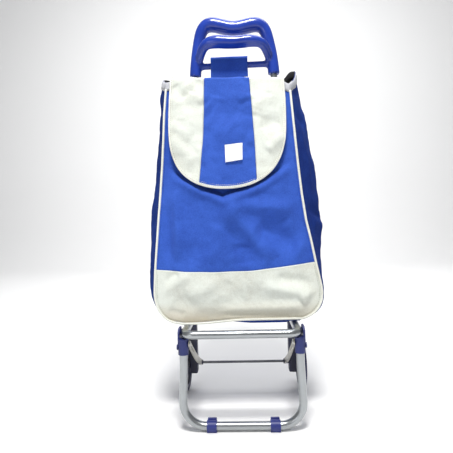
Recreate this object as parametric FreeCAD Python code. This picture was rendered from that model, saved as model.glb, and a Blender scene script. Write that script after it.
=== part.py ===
import FreeCAD, Part
import os
import math
from FreeCAD import Vector

os.makedirs("parts", exist_ok=True)

# ---------------------------------------------------------------- driving dimensions (mm)
# Frame of the part: +Z up, the front of the trolley faces -Y, +X to the right seen from
# the front.  u is the distance forward of the plane of the posts: Y = Y_POST - u.
WHEEL_R = 65.0            # wheel radius
WHEEL_X0 = 130.9          # wheel inner face
WHEEL_X1 = 144.4          # wheel outer face
TUBE_R = 8.0              # 16 mm tube used everywhere
TUBE_WALL = 1.2
AXLE_R = 3.0
AXLE_X = 147.8            # half length of the axle
SHELF_U = 212.0           # front bar of the shelf
SHELF_Z = 189.0           # height of the shelf tube's axis
SHELF_X = 110.0           # half distance between the shelf's side legs
SHELF_BEND = 18.0
P1_U = 28.0               # shelf fold pivot
P2_U = 185.0              # stand pivot on the shelf's side legs
STAND_U = 203.0           # plane of the stand's legs
STAND_X_TOP = 112.0
STAND_X_LOW = 117.5
STAND_BEND = 45.0
FOOT_R = 10.5             # outside radius of the foot rings = height of the lower bar's axis
FOOT_X = 61.0
FOOT_W = 19.0
POST_X_LOW = 119.0
POST_X_TOP = 93.5
POST_Z_BEND = 215.0
POST_Z_TOP = 752.0        # lower ends of the handle's legs
POST_IN_HANDLE = 36.0
BRACKET_X0 = 109.0
BRACKET_X1 = 129.0
BRACKET_U = 13.0
BRACKET_Z0 = 42.0
BRACKET_Z1 = 197.6
PIN_R = 3.0
STAY_X0 = 99.0
STAY_X1 = 101.5
P3_Z = 170.0
STAY_W = 14.0
BAG_U_BACK = 9.0          # rear face of the bag's back panel
BAG_U_FRONT = 158.0       # front face of the bag's front panel
BAG_T = 2.0               # fabric with its stiffener
BAG_Z_BOTTOM = 203.0
RIM_Z_BACK = 750.0
RIM_Z_FRONT = 700.0
SEAM_Z = 308.0            # seam between the blue and the cream front panels
HEM_H = 25.0
BAG_CORNER = 45.0
FLAP_U = 163.0            # rear face of the hanging part of the flap
FLAP_T = 2.0
FLAP_Z_LOW = 473.0
FLAP_HALF = 119.0

Y_POST = (SHELF_U + TUBE_R - WHEEL_R) / 2.0     # puts the middle of the depth at Y = 0


def V(x, u, z):
    return Vector(x, Y_POST - u, z)


def export(shape, name):
    shape.exportStep("parts/" + name + ".step")


def cyl_x(x0, x1, u, z, r):
    return Part.makeCylinder(r, x1 - x0, V(x0, u, z), Vector(1, 0, 0))


def mirror_x(shape):
    return shape.mirror(Vector(0, 0, 0), Vector(1, 0, 0))


def box(x0, x1, u0, u1, z0, z1):
    return Part.makeBox(x1 - x0, u1 - u0, z1 - z0, Vector(x0, Y_POST - u1, z0))


# ---------------------------------------------------------------- tubes: straight runs and tangent arcs
def path_wire(pts, radii):
    edges = []
    cur = pts[0]
    for i in range(1, len(pts) - 1):
        a, b, c = pts[i - 1], pts[i], pts[i + 1]
        d1 = (b - a)
        d1.normalize()
        d2 = (c - b)
        d2.normalize()
        turn = math.acos(max(-1.0, min(1.0, d1.dot(d2))))
        r = radii[i - 1]
        t = r * math.tan(turn / 2.0)
        p = b - d1 * t
        q = b + d2 * t
        bis = d2 - d1
        bis.normalize()
        centre = b + bis * (r / math.cos(turn / 2.0))
        m = centre - bis * r
        if (p - cur).Length > 1e-6:
            edges.append(Part.makeLine(cur, p))
        edges.append(Part.Arc(p, m, q).toShape())
        cur = q
    edges.append(Part.makeLine(cur, pts[-1]))
    return Part.Wire(edges)


def sweep(pts, radii, r):
    w = path_wire(pts, radii)
    d = pts[1] - pts[0]
    circ = Part.Wire([Part.makeCircle(r, pts[0], d)])
    s = w.makePipeShell([circ], True, False)
    if s.Volume < 0:
        s.reverse()
    return s


def tube(pts, radii, r=TUBE_R, wall=TUBE_WALL):
    return sweep(pts, radii, r).cut(sweep(pts, radii, r - wall))


# ---------------------------------------------------------------- posts
SLOPE = (POST_X_LOW - POST_X_TOP) / (POST_Z_TOP - POST_Z_BEND)
POST_X_END = POST_X_TOP - SLOPE * POST_IN_HANDLE
POST_Z_END = POST_Z_TOP + POST_IN_HANDLE
POST_Z_LOW = 78.0
post_pts = [V(POST_X_LOW, 0, POST_Z_LOW), V(POST_X_LOW, 0, POST_Z_BEND), V(POST_X_END, 0, POST_Z_END)]
post_right = tube(post_pts, [300.0])
BRACE_Z = 452.0
brace_x = POST_X_LOW - SLOPE * (BRACE_Z - POST_Z_BEND)
# rivet holes for the cross brace, drilled from the rear
post_right = post_right.cut(Part.makeCylinder(2.0, 12, V(brace_x, 0, BRACE_Z), Vector(0, 1, 0)))
# screw hole for the handle, from the rear
hs_z = POST_Z_TOP + 18.0
hs_x = POST_X_TOP - SLOPE * 18.0
post_right = post_right.cut(Part.makeCylinder(1.6, 30, V(hs_x, 0, hs_z), Vector(0, 1, 0)))
export(post_right, "post_right")
export(mirror_x(post_right), "post_left")

# ---------------------------------------------------------------- handle: a loop with two grips and a crossbar
LEG_R = 13.0
HT = 873.0                # axis of the top grip
leg_k = 0.140             # inward lean of the legs
cx = POST_X_TOP - leg_k * (HT - POST_Z_TOP)
loop = sweep([V(POST_X_TOP, 0, POST_Z_TOP), V(cx, 0, HT), V(-cx, 0, HT), V(-POST_X_TOP, 0, POST_Z_TOP)],
             [36.0, 36.0], LEG_R)


def loft_x(sections):
    wires = []
    for x, u, z, r in sections:
        wires.append(Part.Wire([Part.makeCircle(r, V(x, u, z), Vector(1, 0, 0))]))
    return Part.makeLoft(wires, True, False)


top_grip = loft_x([(-60, 0, 871, 13.4), (-46, 0, 875, 16.4), (-30, 0, 875.5, 17.4), (-12, 0, 870.5, 16.8), (0, 0, 869, 16.6),
                   (12, 0, 870.5, 16.8), (30, 0, 875.5, 17.4), (46, 0, 875, 16.4), (60, 0, 871, 13.4)])
G2_U = 41.0
G2_Z = 820.0
G2_R = 13.6
front_grip = sweep([V(86.5, 2, 806), V(79.0, G2_U, G2_Z), V(-79.0, G2_U, G2_Z), V(-86.5, 2, 806)], [27.0, 27.0], G2_R)
front_swell = loft_x([(-50, G2_U, G2_Z, 13.7), (-34, G2_U, G2_Z + 0.6, 15.2), (0, G2_U, G2_Z - 1.0, 14.2),
                      (34, G2_U, G2_Z + 0.6, 15.2), (50, G2_U, G2_Z, 13.7)])
CROSS_Z = 777.0
crossbar = cyl_x(-88.0, 88.0, 0, CROSS_Z, 7.5)
handle = loop.fuse([top_grip, front_grip, front_swell, crossbar])
for s in (1, -1):
    d = Vector(-s * SLOPE, 0, 1)
    d.normalize()
    handle = handle.cut(Part.makeCylinder(TUBE_R + 0.08, POST_IN_HANDLE + 4.0, V(s * POST_X_TOP, 0, POST_Z_TOP) - d * 3.0, d))
    handle = handle.cut(Part.makeCylinder(1.6, 30, V(s * hs_x, 0, hs_z), Vector(0, 1, 0)))
handle = handle.removeSplitter()
export(handle, "handle")

# screws that hold the handle's legs to the posts, from the rear
screws = []
for s in (1, -1):
    head = Part.makeCone(3.4, 2.2, 1.8, V(s * hs_x, -13.6, hs_z), Vector(0, 1, 0))
    shank = Part.makeCylinder(1.6, 13.6 - 5.5, V(s * hs_x, -5.5, hs_z), Vector(0, 1, 0))
    screws.append(shank.fuse(head))
export(Part.makeCompound(screws), "handle_screws")

# ---------------------------------------------------------------- cross brace: flat steel strip across the rear of the posts
bw = brace_x + 10.0
brace = box(-bw, bw, -9.9, -8.4, BRACE_Z - 8, BRACE_Z + 8)
for s in (1, -1):
    brace = brace.cut(Part.makeCylinder(2.0, 14, V(s * brace_x, -6, BRACE_Z), Vector(0, 1, 0)))
export(brace, "cross_brace")
riv = []
for s in (1, -1):
    sh = Part.makeCylinder(2.0, 9.9 - 5.0, V(s * brace_x, -5.0, BRACE_Z), Vector(0, 1, 0))
    hd = Part.makeCone(4.0, 2.6, 1.6, V(s * brace_x, -9.9, BRACE_Z), Vector(0, 1, 0))
    riv.append(sh.fuse(hd))
export(Part.makeCompound(riv), "brace_rivets")

# ---------------------------------------------------------------- brackets: plastic feet of the posts, with the axle and the fold pivot
def rounded_box(x0, x1, u0, u1, z0, z1, r):
    b = box(x0, x1, u0, u1, z0, z1)
    ed = [e for e in b.Edges if abs(e.Vertexes[0].Point.z - e.Vertexes[1].Point.z) > 1]
    return b.makeFillet(r, ed)


col = rounded_box(BRACKET_X0, BRACKET_X1, -BRACKET_U, BRACKET_U, BRACKET_Z0, BRACKET_Z1, 4.0)
low = [e for e in col.Edges if max(v.Point.z for v in e.Vertexes) < BRACKET_Z0 + 0.5]
col = col.makeFillet(3.0, low)
ear = box(120.0, 127.5, BRACKET_U - 5.0, P1_U, SHELF_Z - 8.6, SHELF_Z + 8.6)
ear = ear.fuse(cyl_x(120.0, 127.5, P1_U, SHELF_Z, 8.6))
gus = Part.Face(Part.makePolygon([V(120, BRACKET_U - 5, 150), V(120, BRACKET_U - 5, 181), V(120, P1_U - 2, 181),
                                  V(120, BRACKET_U - 5, 150)])).extrude(Vector(7.5, 0, 0))
bracket = col.fuse([ear, gus]).removeSplitter()
bracket = bracket.cut(Part.makeCylinder(TUBE_R + 0.08, 200, V(POST_X_LOW, 0, POST_Z_LOW), Vector(0, 0, 1)))
bracket = bracket.cut(cyl_x(100, 140, 0, WHEEL_R, AXLE_R))
bracket = bracket.cut(cyl_x(100, 140, P1_U, SHELF_Z, PIN_R))
bs_z = 120.0
bracket = bracket.cut(Part.makeCylinder(1.6, 30, V(POST_X_LOW, 0, bs_z), Vector(0, 1, 0)))
export(bracket, "bracket_right")
export(mirror_x(bracket), "bracket_left")

# ---------------------------------------------------------------- axle, washers, spacers, caps
axle = cyl_x(-AXLE_X, AXLE_X, 0, WHEEL_R, AXLE_R)
export(axle, "axle")


def ring_x(x0, x1, ro, ri, u=0.0, z=WHEEL_R):
    return cyl_x(x0, x1, u, z, ro).cut(cyl_x(x0 - 1, x1 + 1, u, z, ri))


washers = []
for a, b in ((BRACKET_X1, 130.7), (144.7, 145.5)):
    washers.append(ring_x(a, b, 8.0, AXLE_R))
    washers.append(ring_x(-b, -a, 8.0, AXLE_R))
export(Part.makeCompound(washers), "axle_washers")
spacers = [ring_x(101.8, BRACKET_X0, 5.5, AXLE_R), ring_x(-BRACKET_X0, -101.8, 5.5, AXLE_R),
           ring_x(96.9, 98.7, 5.5, AXLE_R), ring_x(-98.7, -96.9, 5.5, AXLE_R)]
export(Part.makeCompound(spacers), "axle_spacers")
capx = []
for s in (1, -1):
    c = cyl_x(145.5, 150.4, 0, WHEEL_R, 7.0)
    c = c.makeFillet(2.0, [e for e in c.Edges if abs(e.BoundBox.XMax - 150.4) < 0.01 and abs(e.BoundBox.XMin - 150.4) < 0.01])
    c = c.cut(cyl_x(140, AXLE_X, 0, WHEEL_R, AXLE_R))
    capx.append(c if s > 0 else mirror_x(c))
export(Part.makeCompound(capx), "axle_caps")

# ---------------------------------------------------------------- wheels: moulded hub with spokes windows and a tyre
hub = cyl_x(WHEEL_X0, WHEEL_X1, 0, WHEEL_R, 11.0)
disc = cyl_x(WHEEL_X0 + 4.7, WHEEL_X1 - 4.7, 0, WHEEL_R, 54.0)
rim = ring_x(WHEEL_X0 + 1.0, WHEEL_X1 - 1.0, 56.0, 50.0)
hub = hub.fuse([disc, rim])
win = []
for i in range(5):
    a = math.radians(90 + 72 * i)
    win.append(cyl_x(120, 160, 31.0 * math.cos(a), WHEEL_R + 31.0 * math.sin(a), 11.5))
hub = hub.cut(Part.makeCompound(win))
hub = hub.cut(cyl_x(120, 160, 0, WHEEL_R, AXLE_R + 0.06)).removeSplitter()
tyre = ring_x(WHEEL_X0, WHEEL_X1, WHEEL_R, 56.0)
tyre = tyre.makeFillet(5.0, [e for e in tyre.Edges if e.Curve.TypeId == "Part::GeomCircle" and abs(e.Curve.Radius - WHEEL_R) < 0.01])
export(hub, "wheel_hub_right")
export(tyre, "wheel_tyre_right")
export(mirror_x(hub), "wheel_hub_left")
export(mirror_x(tyre), "wheel_tyre_left")

# ---------------------------------------------------------------- shelf: U of tube that folds up about the pins in the brackets
shelf = tube([V(SHELF_X, P1_U - 8.0, SHELF_Z), V(SHELF_X, SHELF_U, SHELF_Z), V(-SHELF_X, SHELF_U, SHELF_Z),
              V(-SHELF_X, P1_U - 8.0, SHELF_Z)], [SHELF_BEND, SHELF_BEND])
for u in (P1_U, P2_U):
    shelf = shelf.cut(cyl_x(-130, -90, u, SHELF_Z, PIN_R + 0.05)).cut(cyl_x(90, 130, u, SHELF_Z, PIN_R + 0.05))
export(shelf, "shelf_tube")

pins = []
for s in (1, -1):
    p = cyl_x(101.4, 127.5, P1_U, SHELF_Z, PIN_R)
    p = p.fuse(cyl_x(127.5, 129.3, P1_U, SHELF_Z, 5.5))
    p = p.fuse(cyl_x(99.6, 101.4, P1_U, SHELF_Z, 5.0))
    p = p.fuse(ring_x(118.3, 120.0, 6.0, PIN_R - 0.5, P1_U, SHELF_Z))
    pins.append(p if s > 0 else mirror_x(p))
export(Part.makeCompound(pins), "fold_pins")

# ---------------------------------------------------------------- stand: U of tube in two plastic sleeves hung on the shelf's legs
STAND_TOP = 178.0
stand_pts = [V(STAND_X_TOP, STAND_U, STAND_TOP), V(STAND_X_TOP, STAND_U, 128.0), V(STAND_X_LOW, STAND_U, FOOT_R),
             V(-STAND_X_LOW, STAND_U, FOOT_R), V(-STAND_X_TOP, STAND_U, 128.0), V(-STAND_X_TOP, STAND_U, STAND_TOP)]
stand = tube(stand_pts, [200.0, STAND_BEND, STAND_BEND, 200.0])
stand = stand.cut(cyl_x(-140, -90, STAND_U, P3_Z - 6, PIN_R)).cut(cyl_x(90, 140, STAND_U, P3_Z - 6, PIN_R))
export(stand, "stand_tube")

SL_X0, SL_X1 = 102.0, 122.0
SL_Z0, SL_Z1 = 150.0, 180.3
body = Part.makeCylinder(10.0, SL_Z1 - SL_Z0, V(STAND_X_TOP, STAND_U, SL_Z0), Vector(0, 0, 1))
body = body.fuse(box(SL_X0, SL_X1, STAND_U - 10.0, STAND_U, SL_Z0 + 8.0, SL_Z1))
# cheek outside the shelf's side leg, carrying the pivot pin
prof = [V(118.2, STAND_U - 28.5, SHELF_Z - 8), V(118.2, STAND_U - 28.5, SHELF_Z + 3), V(118.2, STAND_U - 24, SHELF_Z + 9.5),
        V(118.2, STAND_U - 3, SHELF_Z + 9.5), V(118.2, STAND_U + 4, SHELF_Z + 4), V(118.2, STAND_U + 5.5, 168),
        V(118.2, STAND_U - 9, 168), V(118.2, STAND_U - 28.5, SHELF_Z - 8)]
cheek = Part.Face(Part.makePolygon(prof)).extrude(Vector(3.6, 0, 0))
# the shelf's elbow turns inwards past the cheek, so the cheek only covers the straight leg and hooks round its outside
sleeve = body.fuse(cheek)
sleeve = sleeve.cut(Part.makeCylinder(TUBE_R + 0.08, STAND_TOP - SL_Z0 + 1.0, V(STAND_X_TOP, STAND_U, SL_Z0 - 1.0), Vector(0, 0, 1)))
sleeve = sleeve.cut(cyl_x(90, 140, STAND_U, P3_Z - 6, PIN_R)).cut(cyl_x(90, 140, P2_U, SHELF_Z, PIN_R))
sleeve = sleeve.removeSplitter()
export(sleeve, "sleeve_right")
export(mirror_x(sleeve), "sleeve_left")

rv = []
for s in (1, -1):
    hd = cyl_x(122.05, 124.3, STAND_U, P3_Z - 6, 5.2)
    a = cyl_x(102.1, 122.1, STAND_U, P3_Z - 6, PIN_R).fuse(hd)
    b = cyl_x(101.2, 121.8, P2_U, SHELF_Z, PIN_R).fuse(cyl_x(121.8, 123.6, P2_U, SHELF_Z, 5.2))
    g = [a, b]
    rv += g if s > 0 else [mirror_x(q) for q in g]
export(Part.makeCompound(rv), "sleeve_rivets")

# ---------------------------------------------------------------- foot clips: rings on the lower bar with a flat underside and a lug
def foot(xc):
    r = cyl_x(xc - FOOT_W / 2, xc + FOOT_W / 2, STAND_U, FOOT_R, FOOT_R)
    pad = box(xc - FOOT_W / 2, xc + FOOT_W / 2, STAND_U - 6.5, STAND_U + 6.5, 0, 6.0)
    lug = box(xc - FOOT_W / 2 + 1, xc + FOOT_W / 2 - 1, STAND_U - 13.0, STAND_U - 7.0, FOOT_R, FOOT_R + 10.5)
    web = box(xc - FOOT_W / 2 + 1, xc + FOOT_W / 2 - 1, STAND_U - 9.5, STAND_U, FOOT_R + 3.0, FOOT_R + 9.5)
    f = r.fuse([pad, lug, web])
    f = f.cut(cyl_x(xc - 20, xc + 20, STAND_U, FOOT_R, TUBE_R + 0.05))
    return f.removeSplitter()


export(foot(FOOT_X), "foot_clip_right")
export(foot(-FOOT_X), "foot_clip_left")

# ---------------------------------------------------------------- stays: pressed steel strips from the axle to the sleeves
du = STAND_U
dz = P3_Z - WHEEL_R
L = math.hypot(du, dz)
ang = math.atan2(dz, du)
nu, nz = -math.sin(ang), math.cos(ang)


def on_stay(t, off):
    return (t * math.cos(ang) + off * nu, WHEEL_R + t * math.sin(ang) + off * nz)


def stay_outline():
    pts = []
    n = 24
    up, lo = [], []
    for i in range(n + 1):
        f = i / n
        t = L * f
        bow = -7.0 * math.sin(math.pi * f) * (1.0 - 0.25 * f)     # the strip sags in a shallow curve
        w = STAY_W / 2.0 * (0.92 + 0.16 * math.sin(math.pi * f))
        up.append(on_stay(t, bow + w))
        lo.append(on_stay(t, bow - w))
    cap_top, cap_low = [], []
    for k in range(1, 8):
        a = math.pi / 2 - math.pi * k / 8
        cap_top.append(on_stay(L + math.cos(a) * STAY_W / 2 * 0.92, math.sin(a) * STAY_W / 2 * 0.92))
        cap_low.append(on_stay(-math.cos(a) * STAY_W / 2 * 0.92, -math.sin(a) * STAY_W / 2 * 0.92))
    pts = up + cap_top + lo[::-1] + cap_low
    return pts


pp = [V(STAY_X0, u, z) for u, z in stay_outline()]
stay = Part.Face(Part.makePolygon(pp + [pp[0]])).extrude(Vector(STAY_X1 - STAY_X0, 0, 0))
stay = stay.cut(cyl_x(90, 110, 0, WHEEL_R, AXLE_R + 0.06)).cut(cyl_x(90, 110, STAND_U, P3_Z, 2.5))
# long slot pressed out of the upper end
s0u, s0z = on_stay(L - 62.0, -4.2)
s1u, s1z = on_stay(L - 20.0, -1.6)
slot = cyl_x(90, 110, s0u, s0z, 2.2).fuse(cyl_x(90, 110, s1u, s1z, 2.2))
ax = Vector(0, -(s1u - s0u), s1z - s0z)
ln = ax.Length
ax.normalize()
side = Vector(0, ax.z, -ax.y)
c0 = V(90, s0u, s0z)
quad = [c0 + side * 2.2, c0 + side * 2.2 + ax * ln, c0 - side * 2.2 + ax * ln, c0 - side * 2.2]
slot = slot.fuse(Part.Face(Part.makePolygon(quad + [quad[0]])).extrude(Vector(20, 0, 0)))
stay = stay.cut(slot)
export(stay, "stay_right")
export(mirror_x(stay), "stay_left")
sr = cyl_x(97.4, STAY_X1, STAND_U, P3_Z, 2.5).fuse(cyl_x(97.4, STAY_X0, STAND_U, P3_Z, 4.6))
export(sr, "stay_rivet_right")
export(mirror_x(sr), "stay_rivet_left")

# ---------------------------------------------------------------- bag: front and back panels, side gussets and bottom
def table(tab, z):
    if z <= tab[0][0]:
        return tab[0][1]
    for (z0, w0), (z1, w1) in zip(tab, tab[1:]):
        if z <= z1:
            return w0 + (w1 - w0) * (z - z0) / (z1 - z0)
    return tab[-1][1]


W_FRONT = [(248, 171.5), (265, 171), (305, 167), (350, 160), (400, 152), (455, 146), (518, 140), (574, 136), (640, 131), (700, 127)]
W_MID = [(245, 182), (300, 183), (400, 180), (500, 173), (600, 163), (725, 148)]
W_BACK = [(250, 176), (400, 170), (550, 160), (750, 143)]


def rim_z(u):
    return RIM_Z_BACK - (u - BAG_U_BACK - BAG_T) * (RIM_Z_BACK - RIM_Z_FRONT) / (BAG_U_FRONT - BAG_U_BACK - 2 * BAG_T)


NS = 8
NC = 5


def half_profile(tab, zb, zt, inset):
    r = BAG_CORNER
    zc = zb + r
    pts = []
    for i in range(NS + 1):
        z = zt + (zc - zt) * i / NS
        pts.append((table(tab, z) - inset, z))
    wc = table(tab, zc)
    for i in range(1, NC + 1):
        a = math.radians(90.0 * i / NC)
        pts.append((wc - r + (r - inset) * math.cos(a), zc - (r - inset) * math.sin(a)))
    return pts


def station(tab, zb, u, inset):
    right = half_profile(tab, zb, rim_z(u), inset)
    left = [(-x, z) for x, z in right[::-1]]
    return [V(x, u, z) for x, z in right + left]        # from the right rim, round the bottom, to the left rim


UF = BAG_U_FRONT - BAG_T
UB = BAG_U_BACK + BAG_T
UM = 85.0
ST = [(W_FRONT, BAG_Z_BOTTOM, UF), (W_MID, 199.6, UM), (W_BACK, 205.0, UB)]
outer = [station(t, zb, u, 0.0) for t, zb, u in ST]
inner = [station(t, zb, u, BAG_T) for t, zb, u in ST]
NP = len(outer[0])


def tri(a, b, c):
    return Part.Face(Part.makePolygon([a, b, c, a]))


def strip_solid(j0, j1):
    faces = []
    for k in range(2):
        for j in range(j0, j1):
            for g in (outer, inner):
                a, b, c, d = g[k][j], g[k][j + 1], g[k + 1][j + 1], g[k + 1][j]
                faces.append(tri(a, b, c))
                faces.append(tri(a, c, d))
        for j in (j0, j1):
            a, b, c, d = outer[k][j], outer[k + 1][j], inner[k + 1][j], inner[k][j]
            faces.append(tri(a, b, c))
            faces.append(tri(a, c, d))
    for k in (0, 2):
        for j in range(j0, j1):
            a, b, c, d = outer[k][j], outer[k][j + 1], inner[k][j + 1], inner[k][j]
            faces.append(tri(a, b, c))
            faces.append(tri(a, c, d))
    sh = Part.makeShell(faces)
    so = Part.makeSolid(sh)
    if so.Volume < 0:
        so.reverse()
    return so


JC = NS + NC
side_right = strip_solid(0, JC)
bottom = strip_solid(JC, JC + 1)
side_left = strip_solid(JC + 1, NP - 1)


def plate(points, thick):
    f = Part.Face(Part.makePolygon(points + [points[0]]))
    return f.extrude(Vector(0, -thick, 0))


front = plate(outer[0], BAG_T)
back = plate(station(W_BACK, 205.0, UB, 0.0), -BAG_T)

cut_pts = [V(-260, u, z) for u, z in ((-5, rim_z(-5) - HEM_H), (170, rim_z(170) - HEM_H), (170, 900), (-5, 900))]
hem_zone = Part.Face(Part.makePolygon(cut_pts + [cut_pts[0]])).extrude(Vector(520, 0, 0))
hem = []
pieces = {}
for nm, s in (("front", front), ("back", back), ("side_right", side_right), ("side_left", side_left)):
    hem.append(s.common(hem_zone))
    pieces[nm] = s.cut(hem_zone)
hem_solid = hem[0].fuse(hem[1:]).removeSplitter()
export(hem_solid, "bag_hem")
export(pieces["back"], "bag_back")
export(pieces["side_right"], "bag_side_right")
export(pieces["side_left"], "bag_side_left")
export(bottom, "bag_bottom")
seam_box = box(-260, 260, 100, 200, 150, SEAM_Z)
export(pieces["front"].common(seam_box), "bag_lower_front")
export(pieces["front"].cut(seam_box), "bag_front")

# piping along the seam between the front panel and the gusset
def ring_outline(inset, clip):
    right = half_profile(W_FRONT, BAG_Z_BOTTOM, RIM_Z_FRONT - HEM_H + 1.5, inset)
    left = [(-x, z) for x, z in right[::-1]]
    return right + left


o = ring_outline(-0.6, 0)
i_ = ring_outline(3.4, 0)
pip_pts = [V(x, BAG_U_FRONT, z) for x, z in o + i_[::-1]]
piping = Part.Face(Part.makePolygon(pip_pts + [pip_pts[0]])).extrude(Vector(0, -2.6, 0))
export(piping, "bag_piping")

# ---------------------------------------------------------------- hanging loop: wide strap over the handle's crossbar
LOOP_X0, LOOP_X1 = -56.0, 32.0
out = [(BAG_U_BACK + BAG_T, 750.4), (BAG_U_BACK + BAG_T, 782), (8.6, 792), (4.2, 797), (-3.2, 797), (-8.6, 791), (-10.6, 780), (-10.6, 768),
       (6.4, 750.4)]
inn = [(8.6, 756.5), (9.2, 781), (7.0, 790.6), (3.4, 795.2), (-2.4, 795.2), (-7.0, 790), (-8.9, 780), (-8.9, 768.6)]
fo = Part.Face(Part.makePolygon([V(LOOP_X0, u, z) for u, z in out + [out[0]]])).extrude(Vector(LOOP_X1 - LOOP_X0, 0, 0))
fi = Part.Face(Part.makePolygon([V(LOOP_X0 - 1, u, z) for u, z in inn + [inn[0]]])).extrude(Vector(LOOP_X1 - LOOP_X0 + 2, 0, 0))
hanging_loop = fo.cut(fi)
export(hanging_loop, "hanging_loop")

# ties that hold the bag's back panel to each post
def tie(z):
    x = POST_X_LOW - SLOPE * (z - POST_Z_BEND)
    a = box(x - 9.9, x + 9.9, -9.9, BAG_U_BACK, z - 12, z + 12)
    b = box(x - 8.7, x + 8.7, -8.7, BAG_U_BACK - 0.0 + 1, z - 13, z + 13)
    loopy = a.cut(b)
    return loopy


ties = [tie(600.0), tie(305.0)]
export(Part.makeCompound(ties), "bag_ties_right")
export(Part.makeCompound([mirror_x(t) for t in ties]), "bag_ties_left")

# ---------------------------------------------------------------- flap: lid of three sewn strips, bound at its edge
HINGE_U, HINGE_Z = 15.4, RIM_Z_BACK + 1.4
prof_low = [(HINGE_U, HINGE_Z), (FLAP_U - 3.0, rim_z(FLAP_U - 3.0) + 2.2), (FLAP_U, rim_z(FLAP_U) - 2.5), (FLAP_U, 460.0)]
prof_up = [(HINGE_U, HINGE_Z + FLAP_T), (FLAP_U - 2.4, rim_z(FLAP_U - 3.0) + 2.2 + FLAP_T + 0.2), (FLAP_U + FLAP_T, rim_z(FLAP_U) - 1.6),
           (FLAP_U + FLAP_T, 460.0)]
pr = prof_low + prof_up[::-1]
bent = Part.Face(Part.makePolygon([V(-200, u, z) for u, z in pr + [pr[0]]])).extrude(Vector(400, 0, 0))


def flap_outline(inset):
    half = []
    top_w = 116.0
    zs = [800.0, 700.0, 626.0, 575.0]
    ws = [top_w, top_w, 119.5, 118.8]
    for z, w in zip(zs, ws):
        half.append((w - inset, z))
    for k in range(1, 10):
        a = math.radians(90.0 * k / 10)
        half.append(((118.8 - inset) * math.cos(a) ** 0.92, 575.0 - (102.0 - inset) * math.sin(a) ** 1.0))
    bottom_pt = [(0.0, 473.0 + inset)]
    return half + bottom_pt + [(-x, z) for x, z in half[::-1]]


def prism(pts2, u0, u1):
    f = Part.Face(Part.makePolygon([V(x, u0, z) for x, z in pts2 + [pts2[0]]]))
    return f.extrude(Vector(0, -(u1 - u0), 0))


full = prism(flap_outline(0.0), -20, 240)
insd = prism(flap_outline(4.0), -20, 240)
blue = prism([(-46, 820), (46, 820), (46.5, 700), (58.5, 460), (-56, 460), (-46.5, 700)], -20, 240)
rightzone = prism([(46, 820), (200, 820), (200, 460), (58.5, 460), (46.5, 700)], -20, 240)
leftzone = prism([(-46, 820), (-46.5, 700), (-56, 460), (-200, 460), (-200, 820)], -20, 240)
inner_plate = bent.common(insd)
export(inner_plate.common(blue), "flap_blue_centre")
export(inner_plate.common(rightzone), "flap_cream_right")
export(inner_plate.common(leftzone), "flap_cream_left")
binding = bent.common(full).cut(insd)
export(binding.removeSplitter(), "flap_binding")
label = box(-2.0, 34.0, FLAP_U + FLAP_T, FLAP_U + FLAP_T + 0.7, 529.0, 564.0)
export(label, "label_patch")

print("hinge", HINGE_U, HINGE_Z, "Y", Y_POST - HINGE_U, "Y_POST", Y_POST, "stay angle", math.degrees(ang), "stay length", L)
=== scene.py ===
import math

import bpy
import numpy as np
from mathutils import Matrix, Vector


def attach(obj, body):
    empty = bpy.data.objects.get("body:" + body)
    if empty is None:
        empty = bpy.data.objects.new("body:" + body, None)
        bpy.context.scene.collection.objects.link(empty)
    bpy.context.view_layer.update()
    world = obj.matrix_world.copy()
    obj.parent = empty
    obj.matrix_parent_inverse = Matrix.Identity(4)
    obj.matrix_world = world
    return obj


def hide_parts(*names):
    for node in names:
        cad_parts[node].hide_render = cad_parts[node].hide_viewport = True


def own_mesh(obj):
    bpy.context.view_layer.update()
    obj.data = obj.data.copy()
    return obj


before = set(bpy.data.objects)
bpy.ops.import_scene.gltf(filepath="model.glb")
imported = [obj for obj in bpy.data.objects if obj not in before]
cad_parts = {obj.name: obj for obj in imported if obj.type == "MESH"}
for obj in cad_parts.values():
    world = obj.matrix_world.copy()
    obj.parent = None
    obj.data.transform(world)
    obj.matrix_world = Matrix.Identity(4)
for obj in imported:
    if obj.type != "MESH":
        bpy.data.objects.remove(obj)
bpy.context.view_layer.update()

YP = 77.5                      # plane of the posts (mm); u is the distance forward of it
BD = bpy.data


def W(x, u, z):
    """Millimetres across, forward and up -> metres in the row frame. Works on arrays."""
    x, u, z = np.broadcast_arrays(np.asarray(x, float), np.asarray(u, float), np.asarray(z, float))
    return np.stack([x / 1000.0, (YP - u) / 1000.0, z / 1000.0], -1)


# ------------------------------------------------------------------ small numeric helpers
def smooth(t):
    t = np.clip(t, 0.0, 1.0)
    return t * t * (3 - 2 * t)


def curve_table(tab, q, soften=9.0):
    """Piecewise-linear table, softened over a few millimetres so that it has no corners."""
    t = np.array(sorted(tab), float)
    q = np.asarray(q, float)
    offs = np.linspace(-soften, soften, 7)
    wts = np.exp(-(offs / (soften * 0.6)) ** 2)
    wts /= wts.sum()
    return sum(w * np.interp(q + o, t[:, 0], t[:, 1]) for o, w in zip(offs, wts))


_lat = {}


def vnoise(x, y, scale, seed):
    """Smooth value noise in -1..1 on a seeded lattice."""
    if seed not in _lat:
        _lat[seed] = np.random.RandomState(seed).uniform(-1, 1, (64, 64))
    g = _lat[seed]
    x = np.asarray(x, float) / scale + 20.3
    y = np.asarray(y, float) / scale + 17.7
    xi, yi = np.floor(x).astype(int), np.floor(y).astype(int)
    fx, fy = x - xi, y - yi
    fx, fy = fx * fx * fx * (fx * (fx * 6 - 15) + 10), fy * fy * fy * (fy * (fy * 6 - 15) + 10)
    a, b = g[xi % 64, yi % 64], g[(xi + 1) % 64, yi % 64]
    c, d = g[xi % 64, (yi + 1) % 64], g[(xi + 1) % 64, (yi + 1) % 64]
    return (a * (1 - fx) + b * fx) * (1 - fy) + (c * (1 - fx) + d * fx) * fy


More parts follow.
